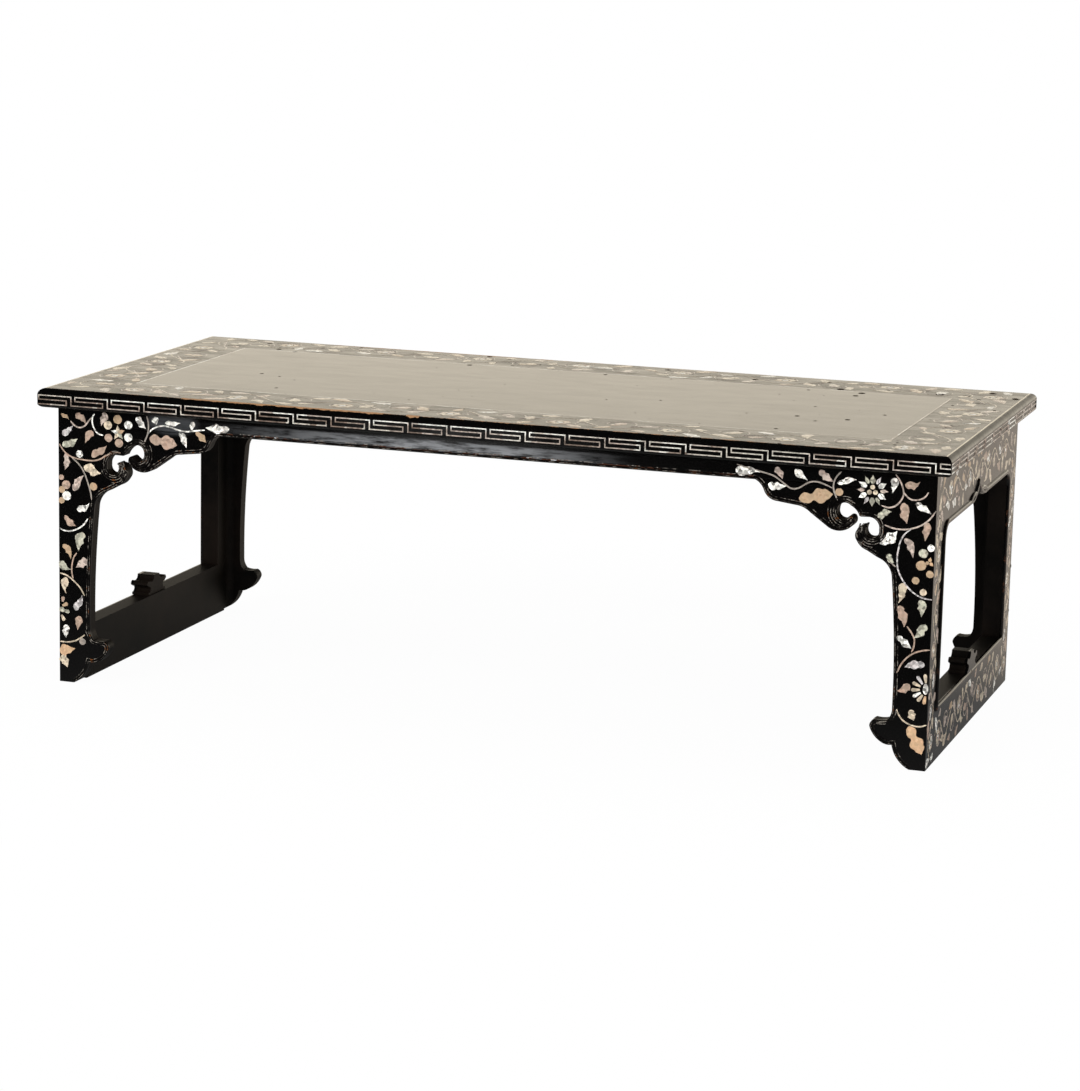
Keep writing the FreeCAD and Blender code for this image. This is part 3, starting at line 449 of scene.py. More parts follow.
@dataclass
class Inlay:
    """Cuts shell and lets it into one face of the table."""

    plane: Plane
    random: np.random.Generator
    # The pieces lie just proud of the lacquer, and reach into the ground under it
    proud: float = 0.06
    crown: float = 0.16
    sunk: float = 0.3
    vine_width: float = 1.5

    def __post_init__(self) -> None:
        """Start with empty heaps."""
        self.leaves = Heap(self.plane)
        self.flowers = Heap(self.plane)
        self.vines = Heap(self.plane)

    def half_widths(self, cut: Cut, side: int, t: Array) -> Array:
        """Half width of a cut at each station, as a share of its greatest width.

        Args:
            cut: which outline.
            side: 0 for the left side, 1 for the right.
            t: place of each station along the spine, 0 to 1.

        Returns:
            One share per station.
        """
        if cut is Cut.DISC:
            hand = self.random.uniform(0.9, 1.06, len(t))
            return 0.5 * hand * np.sqrt(np.clip(1 - (1 - 2 * t) ** 2, 0.02, 1))
        if cut is Cut.CLUB:
            return 0.5 * np.clip((0.42 + 0.58 * t) * np.sqrt(np.clip(1 - t ** 7, 0, 1)), 0.1, 1)
        if cut is Cut.LEAF:
            sides = LEAF_SIDES[self.random.integers(len(LEAF_SIDES))]
        else:
            sides = {Cut.PETAL: (PETAL_SIDE, PETAL_SIDE), Cut.DOUBLE: OAK_SIDES}[cut][side]
        shares = np.interp(t, np.linspace(0, 1, len(sides)), sides)
        if cut is Cut.LEAF:
            shares *= self.random.uniform(0.9, 1.1, len(t))
        return 0.5 * np.clip(shares, 0.04, 1.1)

    def blade(self, heap: Heap, cut: Cut, centre: Spot, length: float,
              width: float, angle: float, tone: Tone) -> None:
        """Cut one piece of shell: a grid of three columns, its rim, and a flat back.

        Args:
            heap: takes the piece.
            cut: its outline.
            centre: its middle on the face.
            length: size along its spine.
            width: greatest width.
            angle: direction of its tip in degrees, anticlockwise from across.
            tone: its colour.
        """
        rows = STATIONS[cut]
        t = np.linspace(0, 1, rows)
        if cut is Cut.DISC:
            # Closer stations towards both ends keep them round
            t = 0.5 - 0.5 * np.cos(math.pi * t)
        left, right = (self.half_widths(cut, side, t) * width for side in (0, 1))
        bend = 0 * t
        if cut is Cut.LEAF:
            # The spine bows a little, and the tip turns aside
            bow, turn = self.random.uniform(-1, 1, 2) * (0.08, 0.16)
            bend = length * (bow * np.sin(math.pi * t) + turn * np.clip((t - 0.6) / 0.4, 0, 1) ** 2)
        along = (t - 0.5) * length
        grid = np.stack([np.stack([along, bend + aside], 1) for aside in (left, 0, -right)], 1)
        turn = math.radians(angle)
        spin = np.array([[math.cos(turn), math.sin(turn)], [-math.sin(turn), math.cos(turn)]])
        flat = grid @ spin + np.asarray(centre)
        lift = np.full(flat.shape[:2], self.proud)
        lift[:, 1] += self.crown * self.random.uniform(0.1, 1.0, rows)
        count = 3 * rows
        rim = [*range(0, count, 3), count - 2, *range(count - 1, 0, -3), 1]
        back = [count + i for i in range(len(rim))]
        flat_rim = flat.reshape(-1, 2)[rim]
        places = np.concatenate([
            self.plane.place(flat, lift).reshape(-1, 3),
            self.plane.place(flat_rim, np.full(len(rim), -self.sunk))])
        walls = [[back[i], back[i - 1], rim[i - 1], rim[i]] for i in range(len(rim))]
        faces = grid_faces(rows, 3, wrap=False) + walls + [back]
        heap.add(places, faces, tone)

    def leaf(self, x: float, y: float, length: float, width: float, angle: float, tone: Tone,
             cut: Cut = Cut.LEAF) -> None:
        """Lay one leaf; the sizes are those of blade."""
        self.blade(self.leaves, cut, (x, y), length, width, angle, tone)

    def vine(self, points: Sequence[Spot], tone: Tone = Tone.ROSE,
             width: Optional[float] = None) -> None:
        """Lay one vine: a thin strip of shell along a smooth curve, narrower at its ends.

        Args:
            points: places that it passes through.
            tone: its colour.
            width: full width, or None for the usual one.
        """
        path = smooth_path(points, spacing=1.6)
        half = (width or self.vine_width) / 2
        section = np.array([[half, -self.sunk], [half, self.proud], [0, self.proud + 0.1],
                            [-half, self.proud], [-half, -self.sunk]])
        t = np.linspace(0, 1, len(path))
        widths = 0.55 + 0.45 * np.clip(np.sin(math.pi * t) * 4, 0, 1)
        sweep(self.vines, path, section, tone, widths)

    def ring(self, centre: Spot, count: int, inner: float, outer: float, width: float,
             start: float, tones: Sequence[Tone]) -> None:
        """Lay petals evenly round a centre.

        Args:
            centre: middle of the flower.
            count: how many stand round.
            inner: radius at their roots.
            outer: radius at their tips.
            width: their width.
            start: direction of the first in degrees.
            tones: colours, taken in turn.
        """
        for number in range(count):
            angle = start + 360 * number / count
            self.blade(self.flowers, Cut.PETAL, turned(centre, (inner + outer) / 2, angle),
                       outer - inner, width, angle, tones[number % len(tones)])

    def disc(self, x: float, y: float, radius: float, tone: Tone) -> None:
        """Lay one round bead of shell."""
        self.blade(self.flowers, Cut.DISC, (x, y), 2 * radius, 2 * radius, 0, tone)

    def finish(self, name: str, material: Material) -> None:
        """Make this face's leaves, flowers and vines three pieces.

        Args:
            name: start of their names.
            material: the shell's finish.
        """
        for heap, kind in ((self.leaves, "leaves"), (self.flowers, "flowers"),
                           (self.vines, "vines")):
            if heap.count:
                heap.finish(f"{name}_{kind}", material, "shell_inlay")


# Finishes

@dataclass(frozen=True)
class Lacquer:
    """Black lacquer on a cloth and clay ground over wood, brushed in many coats and polished.

    To the eye: a deep black that mirrors at a low angle, with faint smudges, fine dents
    and, where the coats are rubbed through, the red-brown ground.
    """

    name: str
    colour: str = "#030303"
    cast: str = "#070606"
    roughness: float = 0.14
    smudge: float = 0.12
    # Faces further in than these are thinly coated and dull, in millimetres
    outer_x: float = 463.0
    outer_y: float = 203.0
    outer_z: float = 294.0
    inner_colours: tuple[str, str] = ("#090807", "#1A1410")
    inner_roughness: float = 0.5
    inner_shine: float = 0.12
    dent_size: float = 11.0
    dent_depth: float = 0.02
    # Colours of rubbed carving, and on the crests painted highlight lines too, by the height of a
    # noise over 12 mm
    rubbed: tuple[tuple[float, str], ...] = ()
    # Rubbed through with a painted highlight line along the top's arris, specked with knocks, or
    # with a painted grey sheen and a worn edge along the apron
    arris: bool = False
    specks: bool = False
    apron_sheen_and_wear: bool = False

    def build(self) -> Material:
        """Make the material.

        Returns:
            The new material.
        """
        material, tree, shader, place = start_material(self.name)
        add = partial(add_node, tree)
        # Slow cloudiness of the coats, over about 60 mm
        cloud = add("TexNoise", {"Vector": place, "Scale": 1 / 0.06, "Detail": 4.0,
                                 "Roughness": 0.6})
        tint = add("Mix", (cloud, linear(self.colour), linear(self.cast)), data_type="RGBA")
        outer = self.outer_mask(tree, place)
        wash = ramp_of(tree, cloud, list(zip((0.35, 0.68), self.inner_colours)))
        colour = add("Mix", (outer, wash, tint), data_type="RGBA")
        # Smudges and dull patches, over about 18 mm, drawn out along the length
        stretch = add("Mapping", {"Vector": place, "Scale": (0.35, 1.0, 1.0)})
        smudge = add("TexNoise", {"Vector": stretch, "Scale": 1 / 0.018, "Detail": 6.0,
                                  "Roughness": 0.62})
        gloss = add("MapRange", {"Value": smudge, "From Min": 0.35, "From Max": 0.75,
                                 "To Min": self.roughness,
                                 "To Max": self.roughness + self.smudge})
        rough = add("Mix", (outer, self.inner_roughness, gloss))
        # Rubbed carving: brown wear, and on the crests grey painted highlight lines
        if self.rubbed:
            wear_and_highlight_noise = add("TexNoise", {"Vector": place, "Scale": 1 / 0.012, "Detail": 5.0,
                                    "Roughness": 0.7})
            colour = ramp_of(tree, wear_and_highlight_noise, self.rubbed)
        # Painted grey sheen, standing in for a reflection, and real wear along the apron
        if self.apron_sheen_and_wear:
            colour, rough = self.paint_apron_sheen_and_wear(tree, place, colour, rough)
        # The brushed coats undulate a little, and small knocks have left dents
        dent = add("TexNoise", {"Vector": place, "Scale": 1 / (self.dent_size * MM),
                                "Detail": 5.0, "Roughness": 0.5})
        bump = add("Bump", {"Height": dent, "Distance": self.dent_depth * MM,
                            "Strength": 0.6})
        shine = add("Mix", (outer, self.inner_shine, 0.5))
        if self.specks:
            colour, shine = self.knock(tree, place, colour, shine)
        if self.arris:
            colour, rough, shine = self.wear_and_highlight_arris(tree, place, colour, rough, shine)
        feed(tree, shader, {"Base Color": colour, "Roughness": rough,
                            "Specular IOR Level": shine, "Normal": bump, "IOR": 1.54})
        return material

    def outer_mask(self, tree: Tree, place: Socket) -> Node:
        """Share of full polish: 1 on the outer faces, 0 on the inner ones.

        Args:
            tree: the material's tree.
            place: object coordinates.

        Returns:
            The mask.
        """
        add = partial(add_node, tree)
        axes = add("SeparateXYZ", (place,))
        masks = []
        for axis, limit in zip("XYZ", (self.outer_x, self.outer_y, self.outer_z)):
            size = add("Math", (axes.outputs[axis],), operation="ABSOLUTE")
            masks.append(add("Math", (size, limit * MM), operation="GREATER_THAN"))
        pair = add("Math", masks[:2], operation="MAXIMUM")
        return add("Math", (pair, masks[2]), operation="MAXIMUM")

    @staticmethod
    def wear_and_highlight_arris(tree: Tree, place: Socket, colour: Source, rough: Source,
                  shine: Source) -> tuple[Source, Source, Source]:
        """Wear and a painted highlight on the arris between the top and its sloping shoulder.

        Along the long sides the brown ground shows up to 1.6 mm either way of the arris,
        less where a noise over 12 mm is low and towards the corners, more along one run of
        220 mm and most in one bare patch 14 mm long. Along the ends a pale line 1.6 mm wide is
        painted on as a highlight, over a shoulder that hands have dulled. The border's ground is
        streaky.

        Args:
            tree: the material's tree.
            place: object coordinates.
            colour: colour before the wear and the painted highlight.
            rough: roughness before wear.
            shine: specular level before wear.

        Returns:
            Colour, roughness and specular level with the wear and the painted highlight.
        """
        add = partial(add_node, tree)
        arris_y, shoulder_z, line_x, line_half = 0.2135, 0.3085, 0.4735, 0.0008
        noise = add("TexNoise", {"Vector": place, "Scale": 1 / 0.012, "Detail": 5.0,
                                 "Roughness": 0.7})
        axes = add("SeparateXYZ", (place,))
        size_x, size_y = (add("Math", (axes.outputs[axis],), operation="ABSOLUTE")
                          for axis in "XY")
        off = add("Math", (size_y, arris_y), operation="SUBTRACT")
        away = add("Math", (off,), operation="ABSOLUTE")
        reach = add("MapRange", {"Value": size_x, "From Min": 0.20, "From Max": 0.46,
                                 "To Min": 0.0016, "To Max": 0.0})
        uneven = add("MapRange", {"Value": noise, "From Min": 0.36, "From Max": 0.62,
                                  "To Min": -0.4, "To Max": 1.0})
        # Middle and half length of the long run and of the bare patch
        run, bare = (add("Math", (axes.outputs["X"], middle, half), operation="COMPARE")
                     for middle, half in ((-0.21, 0.11), (-0.068, 0.007)))
        spare = add("Math", (run, 0.002), operation="MULTIPLY")
        broad = add("Math", (bare, 0.0026, spare), operation="MULTIPLY_ADD")
        width = add("Math", (reach, uneven, broad), operation="MULTIPLY_ADD")
        brown = add("Math", (away, width), operation="LESS_THAN")
        line = add("Math", (size_x, line_x, line_half), operation="COMPARE")
        within = add("Math", (size_y, arris_y), operation="LESS_THAN")
        painted_highlight_line = overlap(tree, within, line)
        high = add("Math", (axes.outputs["Z"], shoulder_z), operation="GREATER_THAN")
        # Brown along the long sides is wear; the pale line along the ends is a painted highlight
        for found, shade, level in ((brown, "#A87E58", 0.5), (painted_highlight_line, "#CDBFA8", 0.25)):
            mask = overlap(tree, found, high)
            colour, rough = cover(tree, colour, rough, [(mask, shade, level)])
        beyond = add("Math", (size_x, line_x + line_half), operation="GREATER_THAN")
        shine = add("Mix", (overlap(tree, beyond, high), shine, 0.22))
        # Between the border's shells the coat has sunk, in streaks 4 to 15 mm long
        drawn = add("Mapping", {"Vector": place, "Scale": (0.6, 1.0, 1.0)})
        ground = add("TexNoise", {"Vector": drawn, "Scale": 1 / 0.009, "Detail": 4.0,
                                  "Roughness": 0.65})
        sunk = add("MapRange", {"Value": ground, "From Min": 0.52, "From Max": 0.62,
                                "To Max": 0.7})
        return colour, rough, add("Mix", (sunk, shine, 0.1))

    @staticmethod
    def paint_apron_sheen_and_wear(tree: Tree, place: Socket, colour: Source, rough: Source) -> tuple[Source, Source]:
        """Painted grey sheen that stands in for a reflection along the middle of the apron, on a
        duller coat, with a rubbed lower edge.

        It fills a band 10 mm high, ragged by about 1 mm, and fades towards both sides. A
        fainter cloud of painted sheen 60 mm wide lies on the left spandrels. Below the band lie
        pale chips 3 to 6 mm long, and brown ground along the very edge. Front and back are alike.

        Args:
            tree: the material's tree.
            place: object coordinates.
            colour: colour before the painted sheen and the wear.
            rough: roughness before them.

        Returns:
            Colour and roughness with the painted sheen and the wear.
        """
        add = partial(add_node, tree)
        axes = add("SeparateXYZ", (place,))
        x, z = axes.outputs["X"], axes.outputs["Z"]
        # Where the chips and the worn rim end, and the cloud's middle and its flatness
        chips_z, rim_z, cloud_x, cloud_z, flat = 0.2785, 0.2744, -0.335, 0.285, 2.2
        streak = add("Mapping", {"Vector": place, "Scale": (0.16, 1.0, 1.0)})
        drag = add("TexNoise", {"Vector": streak, "Scale": 1 / 0.005, "Detail": 5.0,
                                "Roughness": 0.6})
        height = add("Math", (drag, 0.005, z), operation="MULTIPLY_ADD")
        sheen_band = overlap(tree, *[
            add("MapRange", {"Value": value, "From Min": near, "From Max": far},
                interpolation_type="SMOOTHSTEP")
            for value, near, far in ((x, -0.32, -0.05), (x, 0.17, 0.01),
                                     (height, 0.2795, 0.2815), (height, 0.2915, 0.2895),
                                     (drag, 0.30, 0.60))])
        centred = add("Mapping", {"Vector": place, "Location": (-cloud_x, 0.0, -cloud_z * flat),
                                  "Scale": (1.0, 0.0, flat)})
        away = add("VectorMath", (centred,), operation="LENGTH")
        cloud = add("MapRange", {"Value": away, "From Min": 0.034, "From Max": 0.018,
                                 "To Max": drag}, interpolation_type="SMOOTHSTEP")
        knock = add("TexNoise", {"Vector": place, "Scale": 1 / 0.009, "Detail": 2.0,
                                 "Roughness": 0.5})
        low = add("Math", (z, chips_z), operation="LESS_THAN")
        chips = add("Math", (knock, 0.70), operation="GREATER_THAN")
        chip = overlap(tree, low, chips)
        spans = [add("Math", (x, middle, half), operation="COMPARE")
                 for middle, half in ((0.0, 0.282), (-0.1, 0.182))]
        rim = add("Math", (knock, -0.006, z), operation="MULTIPLY_ADD")
        worn = add("Math", (rim, rim_z), operation="LESS_THAN")
        rubbed, chipped = (overlap(tree, one, span) for one, span in zip((worn, chip), spans))
        # The band and the cloud are painted sheen; the rubbed rim and the chips are wear
        return cover(tree, colour, rough, (
            (sheen_band, "#85878A", 0.3), (cloud, "#56585B", 0.3), (rubbed, "#45220E", 0.5),
            (chipped, "#B4B6B8", 0.3)))

    @staticmethod
    def knock(tree: Tree, place: Socket, colour: Source, shine: Source) -> tuple[Source, Source]:
        """Dark knocks of 2 to 10 mm, a few centimetres apart, that hold dirt and don't shine.

        Args:
            tree: the material's tree.
            place: object coordinates.
            colour: colour before them.
            shine: specular level before them.

        Returns:
            Colour and specular level with the knocks.
        """
        add = partial(add_node, tree)
        top_z = 0.312
        drawn = add("Mapping", {"Vector": place, "Scale": (1.0, 0.8, 1.0)})
        spot = add("TexVoronoi", {"Vector": drawn, "Scale": 1 / 0.026}, voronoi_dimensions="2D")
        pick = add("SeparateColor", (spot.outputs["Color"],))
        axes = add("SeparateXYZ", (place,))
        high = add("Math", (axes.outputs["Z"], top_z), operation="GREATER_THAN")
        # They gather in patches about 150 mm across, along the back and at the right
        patch = add("TexNoise", {"Vector": place, "Scale": 1 / 0.15})
        chance = add("Math", (patch, 1.4, pick), operation="MULTIPLY_ADD")
        for axis, near, far, more in (("Y", 0.10, 0.16, 0.4), ("X", 0.12, 0.34, 0.24)):
            crowd = add("MapRange", {"Value": axes.outputs[axis], "From Min": near,
                                     "From Max": far, "To Max": more})
            chance = add("Math", (chance, crowd), operation="ADD")
        size = add("MapRange", {"Value": chance, "From Min": 1.57, "From Max": 2.2,
                                "To Min": 0.035, "To Max": 0.2})
        depth = add("Math", (size, spot), operation="SUBTRACT")
        mask = add("MapRange", {"Value": depth, "From Min": 0.0, "From Max": 0.03,
                                "To Max": high})
        return cover(tree, colour, shine, [(mask, "#2A211A", 0.0)])


@dataclass(frozen=True)
class Shell:
    """Mother-of-pearl, ground flat and polished with the lacquer round it.

    To the eye: each piece has its own cast, with a little pink and green fire that changes
    over a few millimetres, and facets where the layers of the shell catch the light, painted into
    the colour as glints.
    """

    name: str
    facet_size: float = 2.6
    fire_size: float = 9.0
    roughness: float = 0.24
    # Colour and glints come from each piece's own attribute, or change along a line
    own_tone: bool = True
    brightness: float = 1.0
    contrast: float = 1.15
    rough_step: float = 0.16

    def build(self) -> Material:
        """Make the material.

        Returns:
            The new material.
        """
        material, tree, shader, place = start_material(self.name)
        add = partial(add_node, tree)
        if self.own_tone:
            tone = add("Attribute", attribute_name="tone")
            base, sparkle = tone.outputs["Color"], tone.outputs["Alpha"]
        else:
            base, sparkle = self.run_of_tones_and_highlight(tree, place), 0.6
        fire = add("TexNoise", {"Vector": place, "Scale": 1 / (self.fire_size * MM),
                                "Detail": 3.0, "Roughness": 0.7, "Distortion": 1.2})
        # Pink and green lie either side of a plain middle
        ramp = ramp_of(tree, fire, ((0.30, "#F7E8E2"), (0.50, "#FFFFFF"), (0.72, "#E9F1E8")))
        cast = add("Mix", (0.6, base, ramp), data_type="RGBA", blend_type="MULTIPLY")
        # Facets of the shell's layers: painted glints and dark patches, by the piece's own share
        facet = add("TexVoronoi", {"Vector": place, "Scale": 1 / (self.facet_size * MM)})
        glint = add("SeparateColor", (facet.outputs["Color"],))
        swing = add("Math", (glint, self.contrast, -0.55 * self.contrast),
                    operation="MULTIPLY_ADD")
        share = add("Math", (swing, sparkle, 1.0), operation="MULTIPLY_ADD")
        level = add("Math", (share, self.brightness), operation="MULTIPLY")
        shade = add("Mix", (1.0, cast, level), data_type="RGBA", blend_type="MULTIPLY")
        polish = add("MapRange", {"Value": glint.outputs[1], "To Min": self.roughness - 0.08,
                                  "To Max": self.roughness + self.rough_step})
        bump = add("Bump", {"Height": glint.outputs[2], "Distance": 0.05 * MM,
                            "Strength": 0.35})
        feed(tree, shader, {"Base Color": shade, "Roughness": polish, "Normal": bump,
                            "IOR": 1.56})
        return material

    @staticmethod
    def run_of_tones_and_highlight(tree: Tree, place: Socket) -> Node:
        """Tones that change every few centimetres along a line, from one strip to the next.

        What lies above 305 mm, the fret's top line and the field line, is painted whiter as a
        highlight, but for its right-hand part.

        Args:
            tree: the material's tree.
            place: object coordinates.

        Returns:
            The colour.
        """
        add = partial(add_node, tree)
        strip = add("TexVoronoi", {"Vector": place, "Scale": 1 / 0.022})
        pick = add("SeparateColor", (strip.outputs["Color"],))
        axes = add("SeparateXYZ", (place,))
        high, left = (add("MapRange", {"Value": axes.outputs[axis], "From Min": near,
                                       "From Max": far, "To Min": low, "To Max": top})
                      for axis, near, far, low, top in (("Z", 0.303, 0.305, -0.12, 0.45),
                                                        ("X", 0.20, 0.08, 0.0, 1.0)))
        # Each strip's own tone, lifted towards white on the high left-hand lines as a painted
        # highlight
        lift = add("Math", (high, left, pick), operation="MULTIPLY_ADD")
        return ramp_of(tree, lift, ((0.0, "#75655A"), (0.3, "#94867B"), (0.55, "#AEA299"),
                                    (0.8, "#BDB7AC"), (1.0, "#E4E3DC")))


# Camera and studio

@dataclass(frozen=True)
class Studio:
    """Plain pale floor, soft lamps, and a camera at the photograph's angle.

    The angles, the distance and the lens come from a fit of the table's corners to the
    photograph, in degrees and metres.
    """

    azimuth: float = 18.214
    elevation: float = 11.418
    roll: float = 1.268
    distance: float = 3.6888
    shift_right: float = 0.0014
    shift_up: float = 0.1442
    lens: float = 113.98
    floor_size: float = 30.0

    def build(self) -> None:
        """Set up the whole studio."""
        self.camera()
        self.world()
        self.floor()
        for name, place, target, size, power in (
                ("key", (-1.3, -2.6, 1.9), (0, -0.1, 0.15), 2.2, 75.0),
                ("fill", (2.2, -2.2, 1.0), (0, 0, 0.1), 2.0, 34.0),
                ("overhead", (0.2, 0.4, 2.4), (0, 0, 0.2), 2.0, 18.0)):
            self.lamp(name, place, target, size, power)
        bpy.context.scene.view_settings.view_transform = "Standard"

    def camera(self) -> None:
        """Place the camera."""
        az, el = math.radians(self.azimuth), math.radians(self.elevation)
        away = Vector((math.sin(az) * math.cos(el), -math.cos(az) * math.cos(el), math.sin(el)))
        right = (-away).cross(Vector((0, 0, 1))).normalized()
        up = right.cross(-away)
        turn = math.radians(self.roll)
        right, up = (right * math.cos(turn) + up * math.sin(turn),
                     up * math.cos(turn) - right * math.sin(turn))
        place = away * self.distance + right * self.shift_right + up * self.shift_up
        data = bpy.data.cameras.new("camera")
        data.lens = self.lens
        data.sensor_width = 36.0
        camera = bpy.data.objects.new("camera", data)
        camera.matrix_world = Matrix((*zip(right, up, away, place), (0, 0, 0, 1)))
        bpy.context.scene.collection.objects.link(camera)
        bpy.context.scene.camera = camera

    @staticmethod
    def world() -> None:
        """White round the camera's view, and a room that is bright low behind, dark in front."""
        world = bpy.data.worlds.new("studio")
        bpy.context.scene.world = world
        world.use_nodes = True
        tree = world.node_tree
        add = partial(add_node, tree)
        ways = add("LightPath")
        axes = add("SeparateXYZ", (add("TexCoord").outputs["Generated"],))
        behind = add("MapRange", {
            "Value": axes.outputs["Y"], "From Min": 0.0, "From Max": 0.6, "To Min": 0.03,
            "To Max": 1.0}, interpolation_type="SMOOTHSTEP")
        low = add("MapRange", {"Value": axes.outputs["Z"], "From Min": 0.40, "From Max": 0.0,
                               "To Min": 0.02, "To Max": 2.0})
        mirror, ambient, sight = (
            add("Background", (linear(code), strength)) for code, strength in (
                ("#FFF4DF", overlap(tree, behind, low)), ("#FFFFFF", 0.36), ("#FFFFFF", 1.0)))
        room = add("MixShader", (ways.outputs["Is Glossy Ray"], ambient, mirror))
        whole = add("MixShader", (ways.outputs["Is Camera Ray"], room, sight))
        feed(tree, tree.nodes["World Output"], (whole,))

    def floor(self) -> None:
        """Lay the pale floor.

        In the lacquer it is pale behind the table and dark before it, but for a lit strip
        of floor that lies along the apron's reflection.
        """
        half = self.floor_size / 2
        mesh = bpy.data.meshes.new("floor")
        # A touch under the soles, so that the two never share a plane
        low = -0.2 * MM
        mesh.from_pydata([(-half, -half, low), (half, -half, low), (half, half, low),
                          (-half, half, low)], [], [(0, 1, 2, 3)])
        floor = bpy.data.objects.new("floor", mesh)
        bpy.context.scene.collection.objects.link(floor)
        material, tree, shader, place = start_material("pale_floor")
        feed(tree, shader, {"Base Color": linear("#F2F1EF"), "Roughness": 0.9,
                            "Specular IOR Level": 0.0})
        add = partial(add_node, tree)
        smooth = partial(add, "MapRange", interpolation_type="SMOOTHSTEP")
        ways = add("LightPath")
        axes = add("SeparateXYZ", (place,))
        under = add("MapRange", {"Value": axes.outputs["Y"], "From Min": -0.6, "From Max": -0.1,
                                 "To Min": 0.02, "To Max": 0.19})
        behind = smooth({"Value": axes.outputs["Y"], "From Min": 0.0, "From Max": 0.6,
                         "To Max": 0.47})
        strip = overlap(tree, *[
            smooth({"Value": axes.outputs[axis], "From Min": near, "From Max": far})
            for axis, near, far in (("X", -0.70, -0.50), ("X", -0.36, -0.43),
                                    ("Y", -1.75, -1.6), ("Y", -1.3, -1.42))])
        patch = add("Math", (strip, 3.2, under), operation="MULTIPLY_ADD")
        white, plain, warm = (add("Emission", (linear(code), strength)) for code, strength in (
            ("#FFFFFF", 1.0), ("#F7F6F3", patch), ("#FFEBD4", behind)))
        # Plain white away from the table, and most of the way to white near it
        spread = add("VectorMath", (place,), operation="LENGTH")
        whiten = add("MapRange", {"Value": spread, "From Min": 0.45, "From Max": 0.8,
                                  "To Min": 0.97, "To Max": 1.0})
        seen = add("MixShader", (whiten, shader, white))
        mirror = add("AddShader", (plain, warm))
        reflected = add("MixShader", (ways.outputs["Is Glossy Ray"], shader, mirror))
        whole = add("MixShader", (ways.outputs["Is Camera Ray"], reflected, seen))
        feed(tree, tree.nodes["Material Output"], (whole,))
        mesh.materials.append(material)

    @staticmethod
    def lamp(name: str, place: Point, target: Point,
             size: float, power: float) -> None:
        """Hang one soft lamp.

        Args:
            name: its name.
            place: where it hangs.
            target: what it points at.
            size: side of its square face.
            power: watts.
        """
        data = bpy.data.lights.new(name, "AREA")
        data.shape = "SQUARE"
        data.size = size
        data.energy = power
        lamp = bpy.data.objects.new(name, data)
        lamp.location = place
        aim = Vector(target) - Vector(place)
        lamp.rotation_euler = aim.to_track_quat("-Z", "Y").to_euler()
        # The lacquer mirrors the room and not the lamps, as with cloths hung round it
        lamp.visible_glossy = False
        bpy.context.scene.collection.objects.link(lamp)


# Faces of the table

@dataclass
class Table:
    """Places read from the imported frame, in millimetres."""

    # Rise of the wooden bead on the ends, which the base rail's box holds too
    bead_height: float = 2.0

    def __post_init__(self) -> None:
        """Measure the frame."""
        self.leg_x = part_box("base_rail_right")[1].x / MM - self.bead_height
        self.leg_y = -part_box("leg_front_right")[0].y / MM
        self.apron_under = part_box("apron_front")[0].z / MM
        self.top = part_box("top_board")[1].z / MM
        self.front = self.plane((0, -self.leg_y, 0), (1, 0, 0), (0, 0, 1))
        self.back = self.plane((0, self.leg_y, 0), (-1, 0, 0), (0, 0, 1))
        self.right = self.plane((self.leg_x, 0, 0), (0, 1, 0), (0, 0, 1))
        self.left = self.plane((-self.leg_x, 0, 0), (0, -1, 0), (0, 0, 1))
        self.face = self.plane((0, 0, self.top), (1, 0, 0), (0, 1, 0))

    @staticmethod
    def plane(origin: Point, across: Point, up: Point) -> Plane:
        """Make a plane from a place in millimetres and the directions of its two axes."""
        return Plane(np.array(origin) * MM, np.array(across, float), np.array(up, float))


